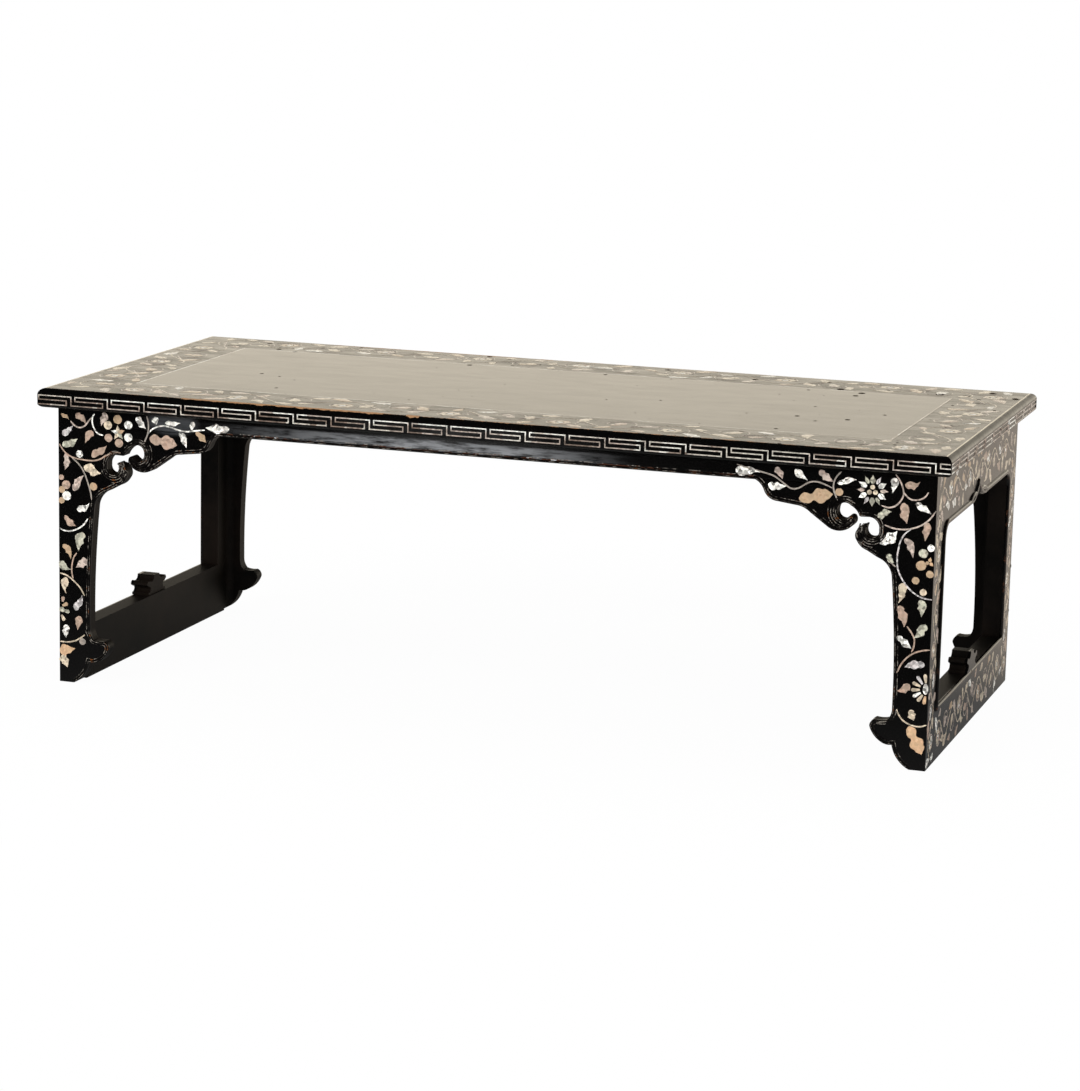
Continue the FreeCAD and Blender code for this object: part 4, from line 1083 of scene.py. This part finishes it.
@dataclass
class FrontScroll:
    """Flowering vine on the front: the right and left halves differ."""

    inlay: Inlay

    def lay(self) -> None:
        """Lay the whole front."""
        self.right_vines()
        self.right_leaves()
        self.right_flowers()
        self.left_vines()
        self.left_leaves()
        self.left_flowers()

    def right_vines(self) -> None:
        """Vines right of the middle."""
        for points, tone in (
            ([(265, 288), (277, 285), (290, 282.5), (302.5, 279.4), (312.5, 273), (320, 268.5),
              (327.5, 269.4), (337.5, 275.6), (346, 277), (355, 274.4), (361, 272)], Tone.GREY),
            ([(369.4, 288.8), (365, 283.8), (362.3, 277.5), (362.5, 270), (366.5, 260.6)],
             Tone.GREY),
            ([(422.8, 290), (427.5, 283.8), (430.6, 276.3), (431, 270), (427.5, 263.1),
              (422.5, 258.8), (416.3, 257.3), (410, 258.8)], Tone.ROSE),
            ([(431.3, 273.1), (436.3, 268.1), (441.3, 266.6), (447.5, 267.5), (452.5, 270.6),
              (455.3, 275)], Tone.ROSE),
            ([(463.5, 257.5), (457.5, 248.8), (448.8, 241.9), (438.8, 238.1), (431.3, 237),
              (422.5, 237.5), (413.8, 240)], Tone.ROSE),
            ([(440, 238.1), (433.8, 232.5), (430, 225), (428, 215), (427.5, 207.5),
              (428.8, 197.5), (433.8, 187.5), (441.3, 178.8), (450, 173), (457.5, 170.9),
              (463.4, 170.6)], Tone.LAVENDER),
            ([(421, 204), (423.5, 202), (426.5, 200)], Tone.GREY),
            ([(440, 142.5), (445, 136), (447.8, 130), (447.5, 122.5), (445.6, 117.5)],
             Tone.PINK),
            ([(463.4, 120.9), (457.5, 120), (450, 117.5), (442.5, 112.5), (436.3, 105),
              (432, 95.6)], Tone.PINK),
            ([(433.4, 59.4), (435, 55), (440, 48.8), (447.5, 45), (456.3, 44), (463.4, 46.3)],
             Tone.CREAM),
        ):
            self.inlay.vine(points, tone)

    def right_leaves(self) -> None:
        """Leaves right of the middle: place, length, width, direction and tone."""
        for one in (
            (276, 283.5, 24, 11, 8, Tone.WHITE), (308.5, 283, 13, 8, -57, Tone.ROSE),
            (330, 282.8, 16, 8, -33, Tone.WHITE), (354, 282.4, 17, 8.5, -41, Tone.ROSE),
            (375, 280.4, 19, 7, 20, Tone.WHITE), (306, 269.8, 18, 9, -4, Tone.WHITE),
            (422.3, 279.2, 15, 8, -92, Tone.WHITE), (439.8, 281.6, 15, 8.5, 12, Tone.PINK),
            (451.4, 259, 18, 7.5, -33, Tone.WHITE), (434.2, 253.3, 20, 11, -71, Tone.PINK),
            (413, 251.4, 15, 8.5, 29, Tone.GREEN), (418.7, 227.5, 21, 12, 35, Tone.WHITE),
            (455.8, 236.5, 18, 8.5, -91, Tone.PINK), (439.5, 219.7, 20, 8.5, -61, Tone.ROSE),
            (420.6, 207, 10.5, 7.5, -50, Tone.GREEN), (434, 174.5, 20, 9.5, -94, Tone.CREAM),
            (454.2, 161.5, 16.5, 9.5, -78, Tone.GREEN), (435.8, 152.4, 21, 10.5, -65, Tone.PINK),
            (453.8, 137.6, 18, 9.5, -124, Tone.GREEN), (437.4, 125.6, 18, 8.5, -40, Tone.WHITE),
            (449, 104.6, 20, 9.5, 188, Tone.LAVENDER), (439.3, 80.8, 14.5, 9, 210, Tone.PINK),
            (448.4, 54.6, 11, 9, -70, Tone.CREAM),
        ):
            self.inlay.leaf(*one)
        self.inlay.leaf(345, 262.5, length=34, width=15.5, angle=12, tone=Tone.TAN,
                        cut=Cut.DOUBLE)
        self.inlay.leaf(453, 30, length=30, width=15, angle=-63, tone=Tone.ORANGE,
                        cut=Cut.DOUBLE)

    def right_flowers(self) -> None:
        """Lotus with three seeds, plum flower and chrysanthemum fan."""
        lotus = (400.6, 272.6)
        self.inlay.ring(lotus, count=6, inner=6.9, outer=15.6, width=5.6, start=30,
                        tones=(Tone.WHITE, Tone.GREEN, Tone.WHITE))
        self.inlay.ring(lotus, count=6, inner=7.8, outer=15.8, width=3.8, start=0,
                        tones=(Tone.ROSE, Tone.LAVENDER, Tone.GREEN))
        seed_ring, seed = 3.4, 2.4
        for angle in (90, 210, 330):
            self.inlay.disc(*turned(lotus, seed_ring, angle), seed, Tone.CREAM)
        for x, y, radius, tone in (
            (368, 268.5, 3.9, Tone.TAN), (446.5, 188, 3.7, Tone.TAN), (454.5, 177, 3.5, Tone.CREAM),
            (453, 215.3, 4.6, Tone.GREEN), (451.3, 203.2, 5.0, Tone.TAN),
            (460.2, 195.3, 3.7, Tone.TAN), (460.3, 221, 3.6, Tone.WHITE),
        ):
            self.inlay.disc(x, y, radius, tone)
        self.inlay.ring((459.3, 207), count=3, inner=0.5, outer=5.2, width=3.6, start=80,
                        tones=(Tone.ORANGE, Tone.TAN))
        fan, root, width = (462, 81.5), 6.6, 4.4
        self.inlay.blade(self.inlay.flowers, Cut.DISC, (461, 82), length=11, width=5.4, angle=90,
                         tone=Tone.WHITE)
        for angle, reach, tone in ((98, 15.5, Tone.CREAM), (128, 16, Tone.LAVENDER),
                                   (157, 15.5, Tone.CREAM), (186, 15.5, Tone.CREAM),
                                   (212, 15.5, Tone.WHITE), (236, 15, Tone.CREAM),
                                   (262, 15, Tone.ORANGE)):
            self.inlay.blade(self.inlay.flowers, Cut.CLUB, turned(fan, (root + reach) / 2, angle),
                             reach - root, width, angle, tone)

    def left_vines(self) -> None:
        """Vines left of the middle."""
        for points, tone in (
            ([(-450, 278.6), (-445.7, 274.3), (-440, 272.4), (-434.3, 274.3), (-430, 279.3),
              (-426.4, 283.6)], Tone.ROSE),
            ([(-422.6, 287.9), (-425, 284.3), (-425, 277.1), (-421.4, 270), (-417, 266.9),
              (-413, 266.3)], Tone.WHITE),
            ([(-363.6, 290), (-361.7, 281.4), (-362.6, 271.4), (-367, 260.7)], Tone.GREY),
            ([(-362.6, 270.7), (-357, 277), (-347, 280.7), (-337, 280.3), (-328.6, 277.9),
              (-318.6, 277), (-308.6, 278.6), (-298.6, 280)], Tone.WHITE),
            ([(-463.3, 253.6), (-457, 245.7), (-448.6, 240.7), (-437, 238.9), (-425.7, 238.6),
              (-417, 240.7), (-410, 245), (-400, 248.6), (-393, 249)], Tone.PINK),
            ([(-448.6, 240), (-440, 232.9), (-434.3, 224.3), (-430, 212.9), (-427.4, 204.3),
              (-426.4, 197)], Tone.GREY),
            ([(-430.7, 177), (-435.7, 170), (-442.9, 165), (-451.4, 162.1), (-458.6, 162.4),
              (-463.4, 164.6)], Tone.WHITE),
            ([(-443.8, 139.4), (-447.5, 133.8), (-449.4, 125), (-449.4, 117.5), (-448, 111.9)],
             Tone.PINK),
            ([(-463.4, 116.5), (-455, 114.4), (-447.5, 109.4), (-440, 102.5), (-435, 94.4)],
             Tone.CREAM),
            ([(-463.4, 43), (-455, 43), (-446.3, 45), (-438.8, 49.4), (-435, 52.5)], Tone.CREAM),
        ):
            self.inlay.vine(points, tone)

    def left_leaves(self) -> None:
        """Leaves left of the middle: place, length, width, direction and tone."""
        for one in (
            (-456, 283.5, 10, 5, -25, Tone.TAN), (-437.8, 282.3, 15, 8, -34, Tone.PINK),
            (-453.3, 268.8, 16, 7.5, 42, Tone.LAVENDER), (-451, 256.3, 19, 9.5, 31, Tone.GREEN),
            (-429.6, 263.3, 15.5, 9, -122, Tone.PINK), (-413, 283.4, 14.5, 9, -114, Tone.ROSE),
            (-370.3, 282, 15, 9, -42, Tone.WHITE), (-353.5, 285.3, 9, 8.5, -70, Tone.WHITE),
            (-334.3, 285, 17, 6, 8, Tone.WHITE), (-312.5, 283, 9.5, 6.5, -100, Tone.WHITE),
            (-284.5, 283.3, 26, 10.5, 180, Tone.WHITE), (-322.8, 268, 17, 8.5, -60, Tone.WHITE),
            (-303, 272, 15, 8, -41, Tone.TAN), (-417, 248.3, 21, 9.5, 35, Tone.PINK),
            (-455.7, 235.3, 17, 8, -85, Tone.ROSE), (-425.8, 227.5, 20, 12, -21, Tone.CREAM),
            (-441.3, 214, 20.5, 9, 55, Tone.ROSE), (-435.8, 188.5, 16, 8, 26, Tone.WHITE),
            (-451.5, 172.5, 16, 8.5, -45, Tone.PINK), (-440, 152, 20.5, 11.5, -112, Tone.GREEN),
            (-454, 140.5, 17, 8, -52, Tone.TAN), (-438.5, 129, 15, 10.5, 204, Tone.ROSE),
            (-457.5, 124, 15.5, 9, -36, Tone.GREEN), (-457.5, 104, 17, 9, -98, Tone.CREAM),
            (-440.8, 85.7, 18, 8.5, 56, Tone.LAVENDER), (-441.5, 64.5, 15, 9, -98, Tone.PINK),
            (-457, 54.5, 14, 8.5, -95, Tone.WHITE), (-455, 34.5, 18, 13, 14, Tone.ORANGE),
            (-457.5, 22.5, 14, 11, -62, Tone.CREAM),
        ):
            self.inlay.leaf(*one)
        self.inlay.leaf(-345, 264.5, length=31, width=15.5, angle=-10, tone=Tone.PINK,
                        cut=Cut.DOUBLE)

    def left_flowers(self) -> None:
        """Plum flower with a star, and two flowers at the edge."""
        self.inlay.ring((-396, 270), count=5, inner=0.4, outer=8.0, width=4.2, start=95,
                        tones=(Tone.CREAM, Tone.WHITE, Tone.CREAM, Tone.GREEN, Tone.TAN))
        for x, y, radius, tone in (
            (-407.5, 277.2, 4.6, Tone.CREAM), (-396.5, 284, 4.8, Tone.TAN),
            (-384.5, 279, 4.6, Tone.WHITE), (-384.5, 266, 4.6, Tone.WHITE),
            (-395, 259.3, 4.6, Tone.PINK), (-407, 264, 4.4, Tone.PINK),
            (-440, 244.6, 3.9, Tone.WHITE), (-424.3, 211.5, 4.3, Tone.TAN),
            (-437.5, 45, 3.7, Tone.GREY),
            (-455.5, 211, 4.7, Tone.PINK), (-455, 199.3, 5.0, Tone.WHITE),
            (-460.5, 205.5, 3.6, Tone.TAN), (-460.8, 194, 3.4, Tone.TAN),
            (-461, 218.5, 3.0, Tone.PINK), (-461.5, 77.5, 2.9, Tone.GREEN),
        ):
            self.inlay.disc(x, y, radius, tone)
        for x, y, length, angle, tone in (
            (-460, 88.7, 5.5, 80, Tone.PINK), (-457.5, 83, 7, 25, Tone.TAN),
            (-456.3, 76, 8, -8, Tone.GREEN), (-460, 68.5, 7, -60, Tone.CREAM),
        ):
            self.inlay.blade(self.inlay.flowers, Cut.CLUB, (x, y), length, 5.0, angle, tone)


@dataclass
class Filling:
    """Leafy scroll that fills a region: a waving stem, curls off it, flowers and leaves."""

    inlay: Inlay
    inside: Callable[[Array], Array]
    low: Spot
    high: Spot
    leaf_length: Spot
    leaf_width: Spot
    spacing: float
    tones: tuple[Tone, ...] = (Tone.CREAM, Tone.TAN, Tone.CREAM, Tone.WHITE, Tone.ROSE,
                               Tone.CREAM, Tone.PINK)
    taken: list[Array] = field(default_factory=list)

    def tone(self) -> Tone:
        """Pick a colour."""
        return self.tones[self.inlay.random.integers(len(self.tones))]

    def stem(self, path: Array, amplitude: float, wavelength: float, curl: float,
             flower: float, every: int) -> None:
        """Lay a stem that waves about a path, with a curl in each hollow.

        The stem stands amplitude times sin(2 pi s / wavelength) to the left of the path
        at length s. A curl winds in from 0.15 to 0.8 of a turn past the stem.

        Args:
            path: middle of the band, as (n, 2).
            amplitude: greatest distance from the path.
            wavelength: length of one wave.
            curl: outer radius of the curls.
            flower: radius of the flowers in them.
            every: one curl in this many holds a flower, the others a large leaf.
        """
        steps = np.linalg.norm(np.diff(path, axis=0), axis=1)
        run = np.concatenate([[0], np.cumsum(steps)])
        waves = max(1, round(run[-1] / wavelength))
        length = run[-1] / waves
        sides = path_sides(path)
        # Samples in one wave, in one piece of vine and in one curl
        wave_steps, vine_steps, curl_steps = 12, 36, 12
        s = np.linspace(0, run[-1], waves * wave_steps + 1)
        middle = np.stack([np.interp(s, run, path[:, i]) for i in (0, 1)], 1)
        side = np.stack([np.interp(s, run, sides[:, i]) for i in (0, 1)], 1)
        stem = middle + side * amplitude * np.sin(2 * math.pi * s / length)[:, None]
        for first in range(0, len(stem) - 1, vine_steps):
            self.inlay.vine(stem[first:first + vine_steps + 1], Tone.CREAM)
        for number in range(2 * waves):
            place = number * wave_steps // 2 + wave_steps // 4
            sign = -1 if number % 2 else 1
            centre = middle[place] - side[place] * sign * amplitude * 0.35
            if not self.inside(centre[None])[0]:
                continue
            toward = stem[place] - centre
            start = math.atan2(toward[1], toward[0])
            share = np.linspace(0, 1, curl_steps)
            angle = start - sign * (0.3 + 1.3 * share) * math.pi
            radius = curl * (1 - 0.38 * share)
            ends = centre + radius[:, None] * np.stack([np.cos(angle), np.sin(angle)], 1)
            root = stem[min(place + 4, len(stem) - 1)]
            curve = [p for p in [root, *ends] if self.inside(np.asarray(p)[None])[0]]
            if len(curve) > 4:
                self.inlay.vine(curve, Tone.ROSE, 1.2)
            self.bloom(centre, flower, number % every == 0)

    def bloom(self, centre: Array, radius: float, flower: bool) -> None:
        """Put a flower or a large leaf at a place, and keep other leaves off it.

        Args:
            centre: its middle.
            radius: the flower's radius.
            flower: whether it is a flower.
        """
        self.taken.append(np.append(centre, radius * (1.0 if flower else 0.8)))
        spot = (float(centre[0]), float(centre[1]))
        if flower:
            turn = self.inlay.random.uniform(0, 60)
            self.inlay.ring(spot, count=7, inner=radius * 0.34, outer=radius,
                            width=radius * 0.62, start=turn,
                            tones=(self.tone(), self.tone(), Tone.CREAM))
            self.inlay.disc(*spot, radius * 0.26, Tone.WHITE)
        else:
            self.inlay.leaf(*spot, radius * 1.7, radius * 1.05,
                            self.inlay.random.uniform(0, 360), self.tone(),
                            Cut.LEAF if self.inlay.random.random() < 0.6 else Cut.DOUBLE)

    def scatter(self, tries: int) -> None:
        """Fill what is left with leaves that keep their distance from each other.

        Args:
            tries: places tried at random.
        """
        random = self.inlay.random
        kept = list(self.taken)
        for x, y, angle, size in zip(
                random.uniform(self.low[0], self.high[0], tries),
                random.uniform(self.low[1], self.high[1], tries),
                random.uniform(0, 2 * math.pi, tries), random.uniform(0, 1, tries)):
            length = self.leaf_length[0] + size * (self.leaf_length[1] - self.leaf_length[0])
            width = self.leaf_width[0] + size * (self.leaf_width[1] - self.leaf_width[0])
            along = np.array([math.cos(angle), math.sin(angle)]) * length / 2
            across = np.array([-math.sin(angle), math.cos(angle)]) * width / 2
            centre = np.array([x, y])
            corners = np.stack([centre + along, centre - along, centre + across, centre - across])
            if not self.inside(corners).all():
                continue
            if kept:
                others = np.stack(kept)
                gap = np.hypot(*(others[:, :2] - centre).T) - others[:, 2]
                if gap.min() < self.spacing * 0.5 + width * 0.18:
                    continue
            kept.append(np.array([x, y, self.spacing * 0.5]))
            self.inlay.leaf(x, y, length, width, math.degrees(angle), self.tone())


@dataclass
class Opening:
    """Beaded opening of an end: its outline on the end's face, middle bottom to middle bottom."""

    half_width: float = 162.0
    sill: float = 57.0
    head: float = 235.0
    corner: float = 14.0
    notch_half: float = 40.0
    notch_rise: float = 13.0
    bead_width: float = 5.5
    bead_height: float = 2.35

    def chain(self) -> Chain:
        """Outline with the wood on its left.

        Returns:
            (y, z, bow) of each corner.
        """
        quarter = (math.sqrt(2) - 1) / 2
        notch = [(-1.0, 0.0, 0.08), (-0.32, 0.36, -0.07), (0.0, 1.0, -0.07), (0.32, 0.36, 0.08),
                 (1.0, 0.0, 0.0)]
        return [
            (0, self.sill, 0), (-self.half_width, self.sill, 0),
            (-self.half_width, self.head - self.corner, quarter),
            (self.corner - self.half_width, self.head, 0),
            *((self.notch_half * reach, self.head + self.notch_rise * rise, bow)
              for reach, rise, bow in notch),
            (self.half_width - self.corner, self.head, quarter),
            (self.half_width, self.head - self.corner, 0),
            (self.half_width, self.sill, 0), (0, self.sill, 0),
        ]

    def bead(self, plane: Plane, name: str, material: Material) -> None:
        """Run the rounded bead along the outline.

        Args:
            plane: the end's face.
            name: the piece's name.
            material: its finish.
        """
        path = arc_chain(self.chain(), spacing=2.5)
        middle = path + path_sides(path) * self.bead_width / 2
        heap = Heap(plane)
        sweep(heap, middle, rounded_section(self.bead_width, self.bead_height, depth=0.3, points=9))
        heap.finish(name, material, "lacquered_wood", smooth=True)


@dataclass
class EndScroll:
    """Dense leafy scroll on one end: stiles, apron and base rail."""

    inlay: Inlay
    opening: Opening
    half_width: float = 203.0
    top: float = 291.5
    edge: float = 6.0

    def inside(self, points: Array) -> Array:
        """Whether points lie on the end's face and clear of the bead.

        Args:
            points: places, as (n, 2).

        Returns:
            A mask, as (n).
        """
        y, z = np.abs(points[:, 0]), points[:, 1]
        hole = self.opening
        rise = np.clip(1 - y / hole.notch_half, 0, 1) * hole.notch_rise
        in_hole = ((y < hole.half_width + self.edge) & (z > hole.sill - self.edge)
                   & (z < hole.head + self.edge + rise))
        return (y < self.half_width) & (z > 1.5) & (z < self.top) & ~in_hole

    def lay(self) -> None:
        """Lay the whole end."""
        fill = Filling(self.inlay, self.inside, (-self.half_width, 0), (self.half_width, self.top),
                       leaf_length=(12.0, 21.0), leaf_width=(7.5, 11.5), spacing=14.5)
        stile, foot, shoulder, head, corner = 186.5, 8, 248, 266, 14
        arch = [(-stile, foot, 0), (-stile, shoulder, 0), (corner - stile, head, 0),
                (stile - corner, head, 0), (stile, shoulder, 0), (stile, foot, 0)]
        fill.stem(arc_chain(arch, spacing=4.0), amplitude=8.5, wavelength=62.0, curl=9.5,
                  flower=8.5, every=3)
        rail = [(-165, 26, 0), (165, 26, 0)]
        fill.stem(arc_chain(rail, spacing=4.0), amplitude=12.0, wavelength=66.0, curl=12.0,
                  flower=9.5, every=3)
        fill.scatter(tries=9000)


@dataclass
class BorderScroll:
    """Leafy scroll in the border of the top, outside the plain field."""

    inlay: Inlay
    half_length: float = 471.0
    half_width: float = 211.0
    field_x: float = 408.0
    field_y: float = 148.0

    def inside(self, points: Array) -> Array:
        """Whether points lie in the border.

        Args:
            points: places, as (n, 2).

        Returns:
            A mask, as (n).
        """
        x, y = np.abs(points[:, 0]), np.abs(points[:, 1])
        return (x < self.half_length) & (y < self.half_width) & (
            (x > self.field_x) | (y > self.field_y))

    def lay(self) -> None:
        """Lay the whole border."""
        fill = Filling(self.inlay, self.inside, (-self.half_length, -self.half_width),
                       (self.half_length, self.half_width), leaf_length=(16.0, 30.0),
                       leaf_width=(9.0, 14.0), spacing=21.0)
        x, y, corner, bow = 439.0, 179.0, 24.0, -(math.sqrt(2) - 1) / 2
        loop = [(corner - x, -y, 0), (x - corner, -y, bow), (x, corner - y, 0),
                (x, y - corner, bow), (x - corner, y, 0), (corner - x, y, bow),
                (-x, y - corner, 0), (-x, corner - y, bow), (corner - x, -y, 0)]
        fill.stem(arc_chain(loop, spacing=6.0), amplitude=19.0, wavelength=118.0, curl=19.0,
                  flower=13.0, every=2)
        fill.scatter(tries=14000)


@dataclass
class FrontOpening:
    """Sawn outline under the front: apron, spandrel, inner edge of the leg, and foot.

    The shares are those that the wood was sawn to, from the middle of the front to the
    sole of the right foot, with the wood on the left.
    """

    plane: Plane
    apron_under: float
    spandrel_length: float = 139.0
    spandrel_drop: float = 84.5
    leg_inner: float = 423.0
    leg_outer: float = 464.0
    leg_waist: float = 35.2
    foot_spread: float = 57.1
    foot_height: float = 60.0
    foot_flat: float = 16.5
    SPANDREL_SHARES = [
        (1.000, 0.000, 0.10), (0.934, 0.123, -0.13), (0.849, 0.231, 0.00),
        (0.705, 0.260, 0.09), (0.597, 0.334, 0.00), (0.466, 0.487, -0.18),
        (0.291, 0.445, -0.16), (0.280, 0.362, -0.33), (0.323, 0.350, 0.00),
        (0.350, 0.384, 0.26), (0.405, 0.280, 0.34), (0.310, 0.214, 0.10),
        (0.246, 0.327, 0.00), (0.237, 0.334, 0.00), (0.174, 0.331, 0.22),
        (0.103, 0.470, 0.33), (0.180, 0.557, 0.18), (0.191, 0.430, -0.33),
        (0.210, 0.432, -0.16), (0.260, 0.490, -0.17), (0.257, 0.620, -0.10),
        (0.183, 0.720, 0.00), (0.104, 0.792, 0.15),
    ]
    FOOT_SHARES = [
        (0.69, 0.80, 0.06), (0.91, 0.79, -0.16), (1.00, 0.67, -0.10),
        (0.775, 0.41, -0.09), (0.60, 0.385, -0.12),
    ]

    def chain(self) -> Chain:
        """Outline of the right half, from the middle of the apron to the sole.

        Returns:
            (x, z, bow) of each corner.
        """
        spandrel = [(self.leg_inner - self.spandrel_length * reach,
                     self.apron_under - self.spandrel_drop * drop, bow)
                    for reach, drop, bow in self.SPANDREL_SHARES]
        foot = [(self.leg_outer - self.foot_spread * reach, self.foot_height * height, bow)
                for reach, height, bow in self.FOOT_SHARES]
        return [
            (0, self.apron_under, 0), *spandrel,
            (self.leg_inner, self.apron_under - self.spandrel_drop, 0.014),
            (self.leg_outer - self.leg_waist, self.foot_height, 0.10), *foot,
            (self.leg_outer - self.foot_flat, 0, 0),
        ]

    def carve(self, name: str, carving: Material,
              crest_wear_and_highlight_finish: Material) -> None:
        """Carve the bead along the edge and the ridges of the scrolls and feet, with crests that
        carry painted highlights.

        Args:
            name: start of the pieces' names.
            carving: their finish.
            crest_wear_and_highlight_finish: finish of the thin lines on the carving: painted
                highlights, and brown where it is rubbed.
        """
        edge, ridges, worn_and_highlit_crests = (Heap(self.plane) for _ in range(3))
        path = arc_chain(self.chain(), spacing=1.5)
        bead = rounded_section(width=2.6, height=0.7, depth=0.4, points=6)
        ridge = rounded_section(width=1.5, height=0.6, depth=0.4, points=5)
        crest = rounded_section(width=0.6, height=0.25, depth=0.3, points=4)
        # Crests, thin strips with painted highlight lines and rubbed brown, lie on the bead and on
        # the ridges, and one on the wood beside the bead
        raised = crest + [0, 0.5]
        on_bead, beside = (path + path_sides(path) * aside for aside in (1.4, 4.0))
        lines = [(edge, on_bead, bead), (worn_and_highlit_crests, on_bead, raised), (worn_and_highlit_crests, beside, crest)]
        for one in self.ridges():
            lines += [(ridges, one, ridge), (worn_and_highlit_crests, one, raised)]
        for side in (1, -1):
            for heap, flat, section in lines:
                line = flat * [side, 1]
                sweep(heap, line if side > 0 else line[::-1], section)
        edge.finish(f"{name}_edge_bead", carving, "lacquered_wood", smooth=True)
        ridges.finish(f"{name}_carved_ridges", carving, "lacquered_wood", smooth=True)
        worn_and_highlit_crests.finish(f"{name}_rubbed_and_highlit_crests", crest_wear_and_highlight_finish, "lacquered_wood", smooth=True)

    def ridges(self) -> list[Array]:
        """Ridges of the right half: round both scrolls' eyes, and on the foot.

        Those round an eye run beside a part of its outline. Each entry holds the numbers
        of that part's first and last corner in the chain, the distance, and the shares of
        the part between which the ridge runs.

        Returns:
            Paths, as (n, 2) each.
        """
        chain = self.chain()
        paths = []
        for first, last, distance, start, end in (
                (10, 12, 3.4, 0.0, 1.0), (10, 12, 6.2, 0.06, 0.9), (10, 12, 9.0, 0.0, 0.6),
                (15, 18, 3.4, 0.3, 1.0), (15, 18, 6.2, 0.45, 0.95), (15, 18, 9.0, 0.6, 0.85)):
            part = arc_chain(chain[first:last + 1], spacing=1.2)
            beside = part + path_sides(part) * distance
            paths.append(beside[int(start * len(part)):math.ceil(end * len(part))])
        paths.append(smooth_path([(434, 57), (430, 50), (424, 46.2), (417, 44.6), (412, 42),
                                  (411.4, 38), (415, 32.5), (421.5, 28.4), (428, 26)], 1.6))
        return paths


def dress_nodes(finishes: dict[str, Material], other: Material) -> None:
    """Give the frame's own nodes their finishes.

    Args:
        finishes: finish by the start of a node's name, the first that fits.
        other: finish of the rest, the legs, spandrels, rails and ornaments.
    """
    for name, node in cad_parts.items():
        chosen = [finish for start, finish in finishes.items() if name.startswith(start)]
        node.data.materials.clear()
        node.data.materials.append(chosen[0] if chosen else other)
        LOG.info("%s: %s", name, node.data.materials[0].name)


def main() -> None:
    """Dress the table."""
    logging.basicConfig(level=logging.INFO, format="%(name)s: %(message)s")
    table = Table()
    Studio().build()
    shell = Shell("mother_of_pearl").build()
    dull_shell = Shell("worn_mother_of_pearl", brightness=1.1, contrast=1.2, roughness=0.16,
                       rough_step=0.08).build()
    border_shell = Shell("rubbed_mother_of_pearl", brightness=0.66, contrast=0.8, roughness=0.14,
                         rough_step=0.08).build()
    bead = Lacquer("lacquered_bead", outer_z=0, rubbed=(
        (0.0, "#050404"), (0.58, "#0A0706"), (0.68, "#4A2C1A"))).build()
    carving = Lacquer("lacquered_carving", outer_z=0, rubbed=(
        (0.0, "#050404"), (0.56, "#0A0807"), (0.68, "#33200F"))).build()
    # Grey stops are painted highlights, as if reflected off the rounded ridges; the brown stops are
    # wear
    worn_and_highlit_crests = Lacquer("rubbed_lacquer_crests_with_painted_highlights", outer_z=0, rubbed=(
        (0.44, "#060505"), (0.51, "#2E2A26"), (0.56, "#A39C92"), (0.60, "#2E241D"),
        (0.65, "#94592F"))).build()
    # The apron and spandrels carry a painted grey sheen that stands in for a reflection
    apron_sheen_and_wear = Lacquer("black_lacquer_with_painted_sheen", apron_sheen_and_wear=True).build()
    end_strips = Shell("pale_mother_of_pearl_strips", own_tone=False, brightness=1.6,
                       roughness=0.14, rough_step=0.06).build()
    dress_nodes({
        "fret_left": end_strips, "fret_right": end_strips,
        "fret": Shell("mother_of_pearl_strips", own_tone=False).build(),
        "field_line": Shell("rubbed_mother_of_pearl_line", own_tone=False, brightness=0.8,
                            roughness=0.12, rough_step=0.05).build(),
        "frame": Lacquer("lacquered_top_edge", outer_x=600, outer_y=600, roughness=0.17,
                         smudge=0.13, arris=True, specks=True).build(),
        "top_board": Lacquer("lacquered_top_field", outer_x=600, outer_y=600, smudge=0.05,
                             specks=True).build(),
        "batten": Lacquer("thin_lacquer_wash", outer_x=600, outer_y=600, outer_z=600).build(),
        "apron": apron_sheen_and_wear, "spandrel": apron_sheen_and_wear,
    }, Lacquer("polished_black_lacquer").build())
    for number, (name, plane) in enumerate((("front", table.front), ("back", table.back))):
        inlay = Inlay(plane, np.random.default_rng(11 + number))
        FrontScroll(inlay).lay()
        inlay.finish(name, shell)
        FrontOpening(plane, table.apron_under).carve(name, carving, worn_and_highlit_crests)
    opening = Opening()
    for number, (name, plane) in enumerate((("right", table.right), ("left", table.left))):
        inlay = Inlay(plane, np.random.default_rng(31 + number))
        EndScroll(inlay, opening).lay()
        inlay.finish(f"{name}_end", dull_shell)
        opening.bead(plane, f"{name}_end_bead", bead)
    border = Inlay(table.face, np.random.default_rng(51))
    BorderScroll(border).lay()
    border.finish("top_border", border_shell)


if __name__ == "__main__":
    main()
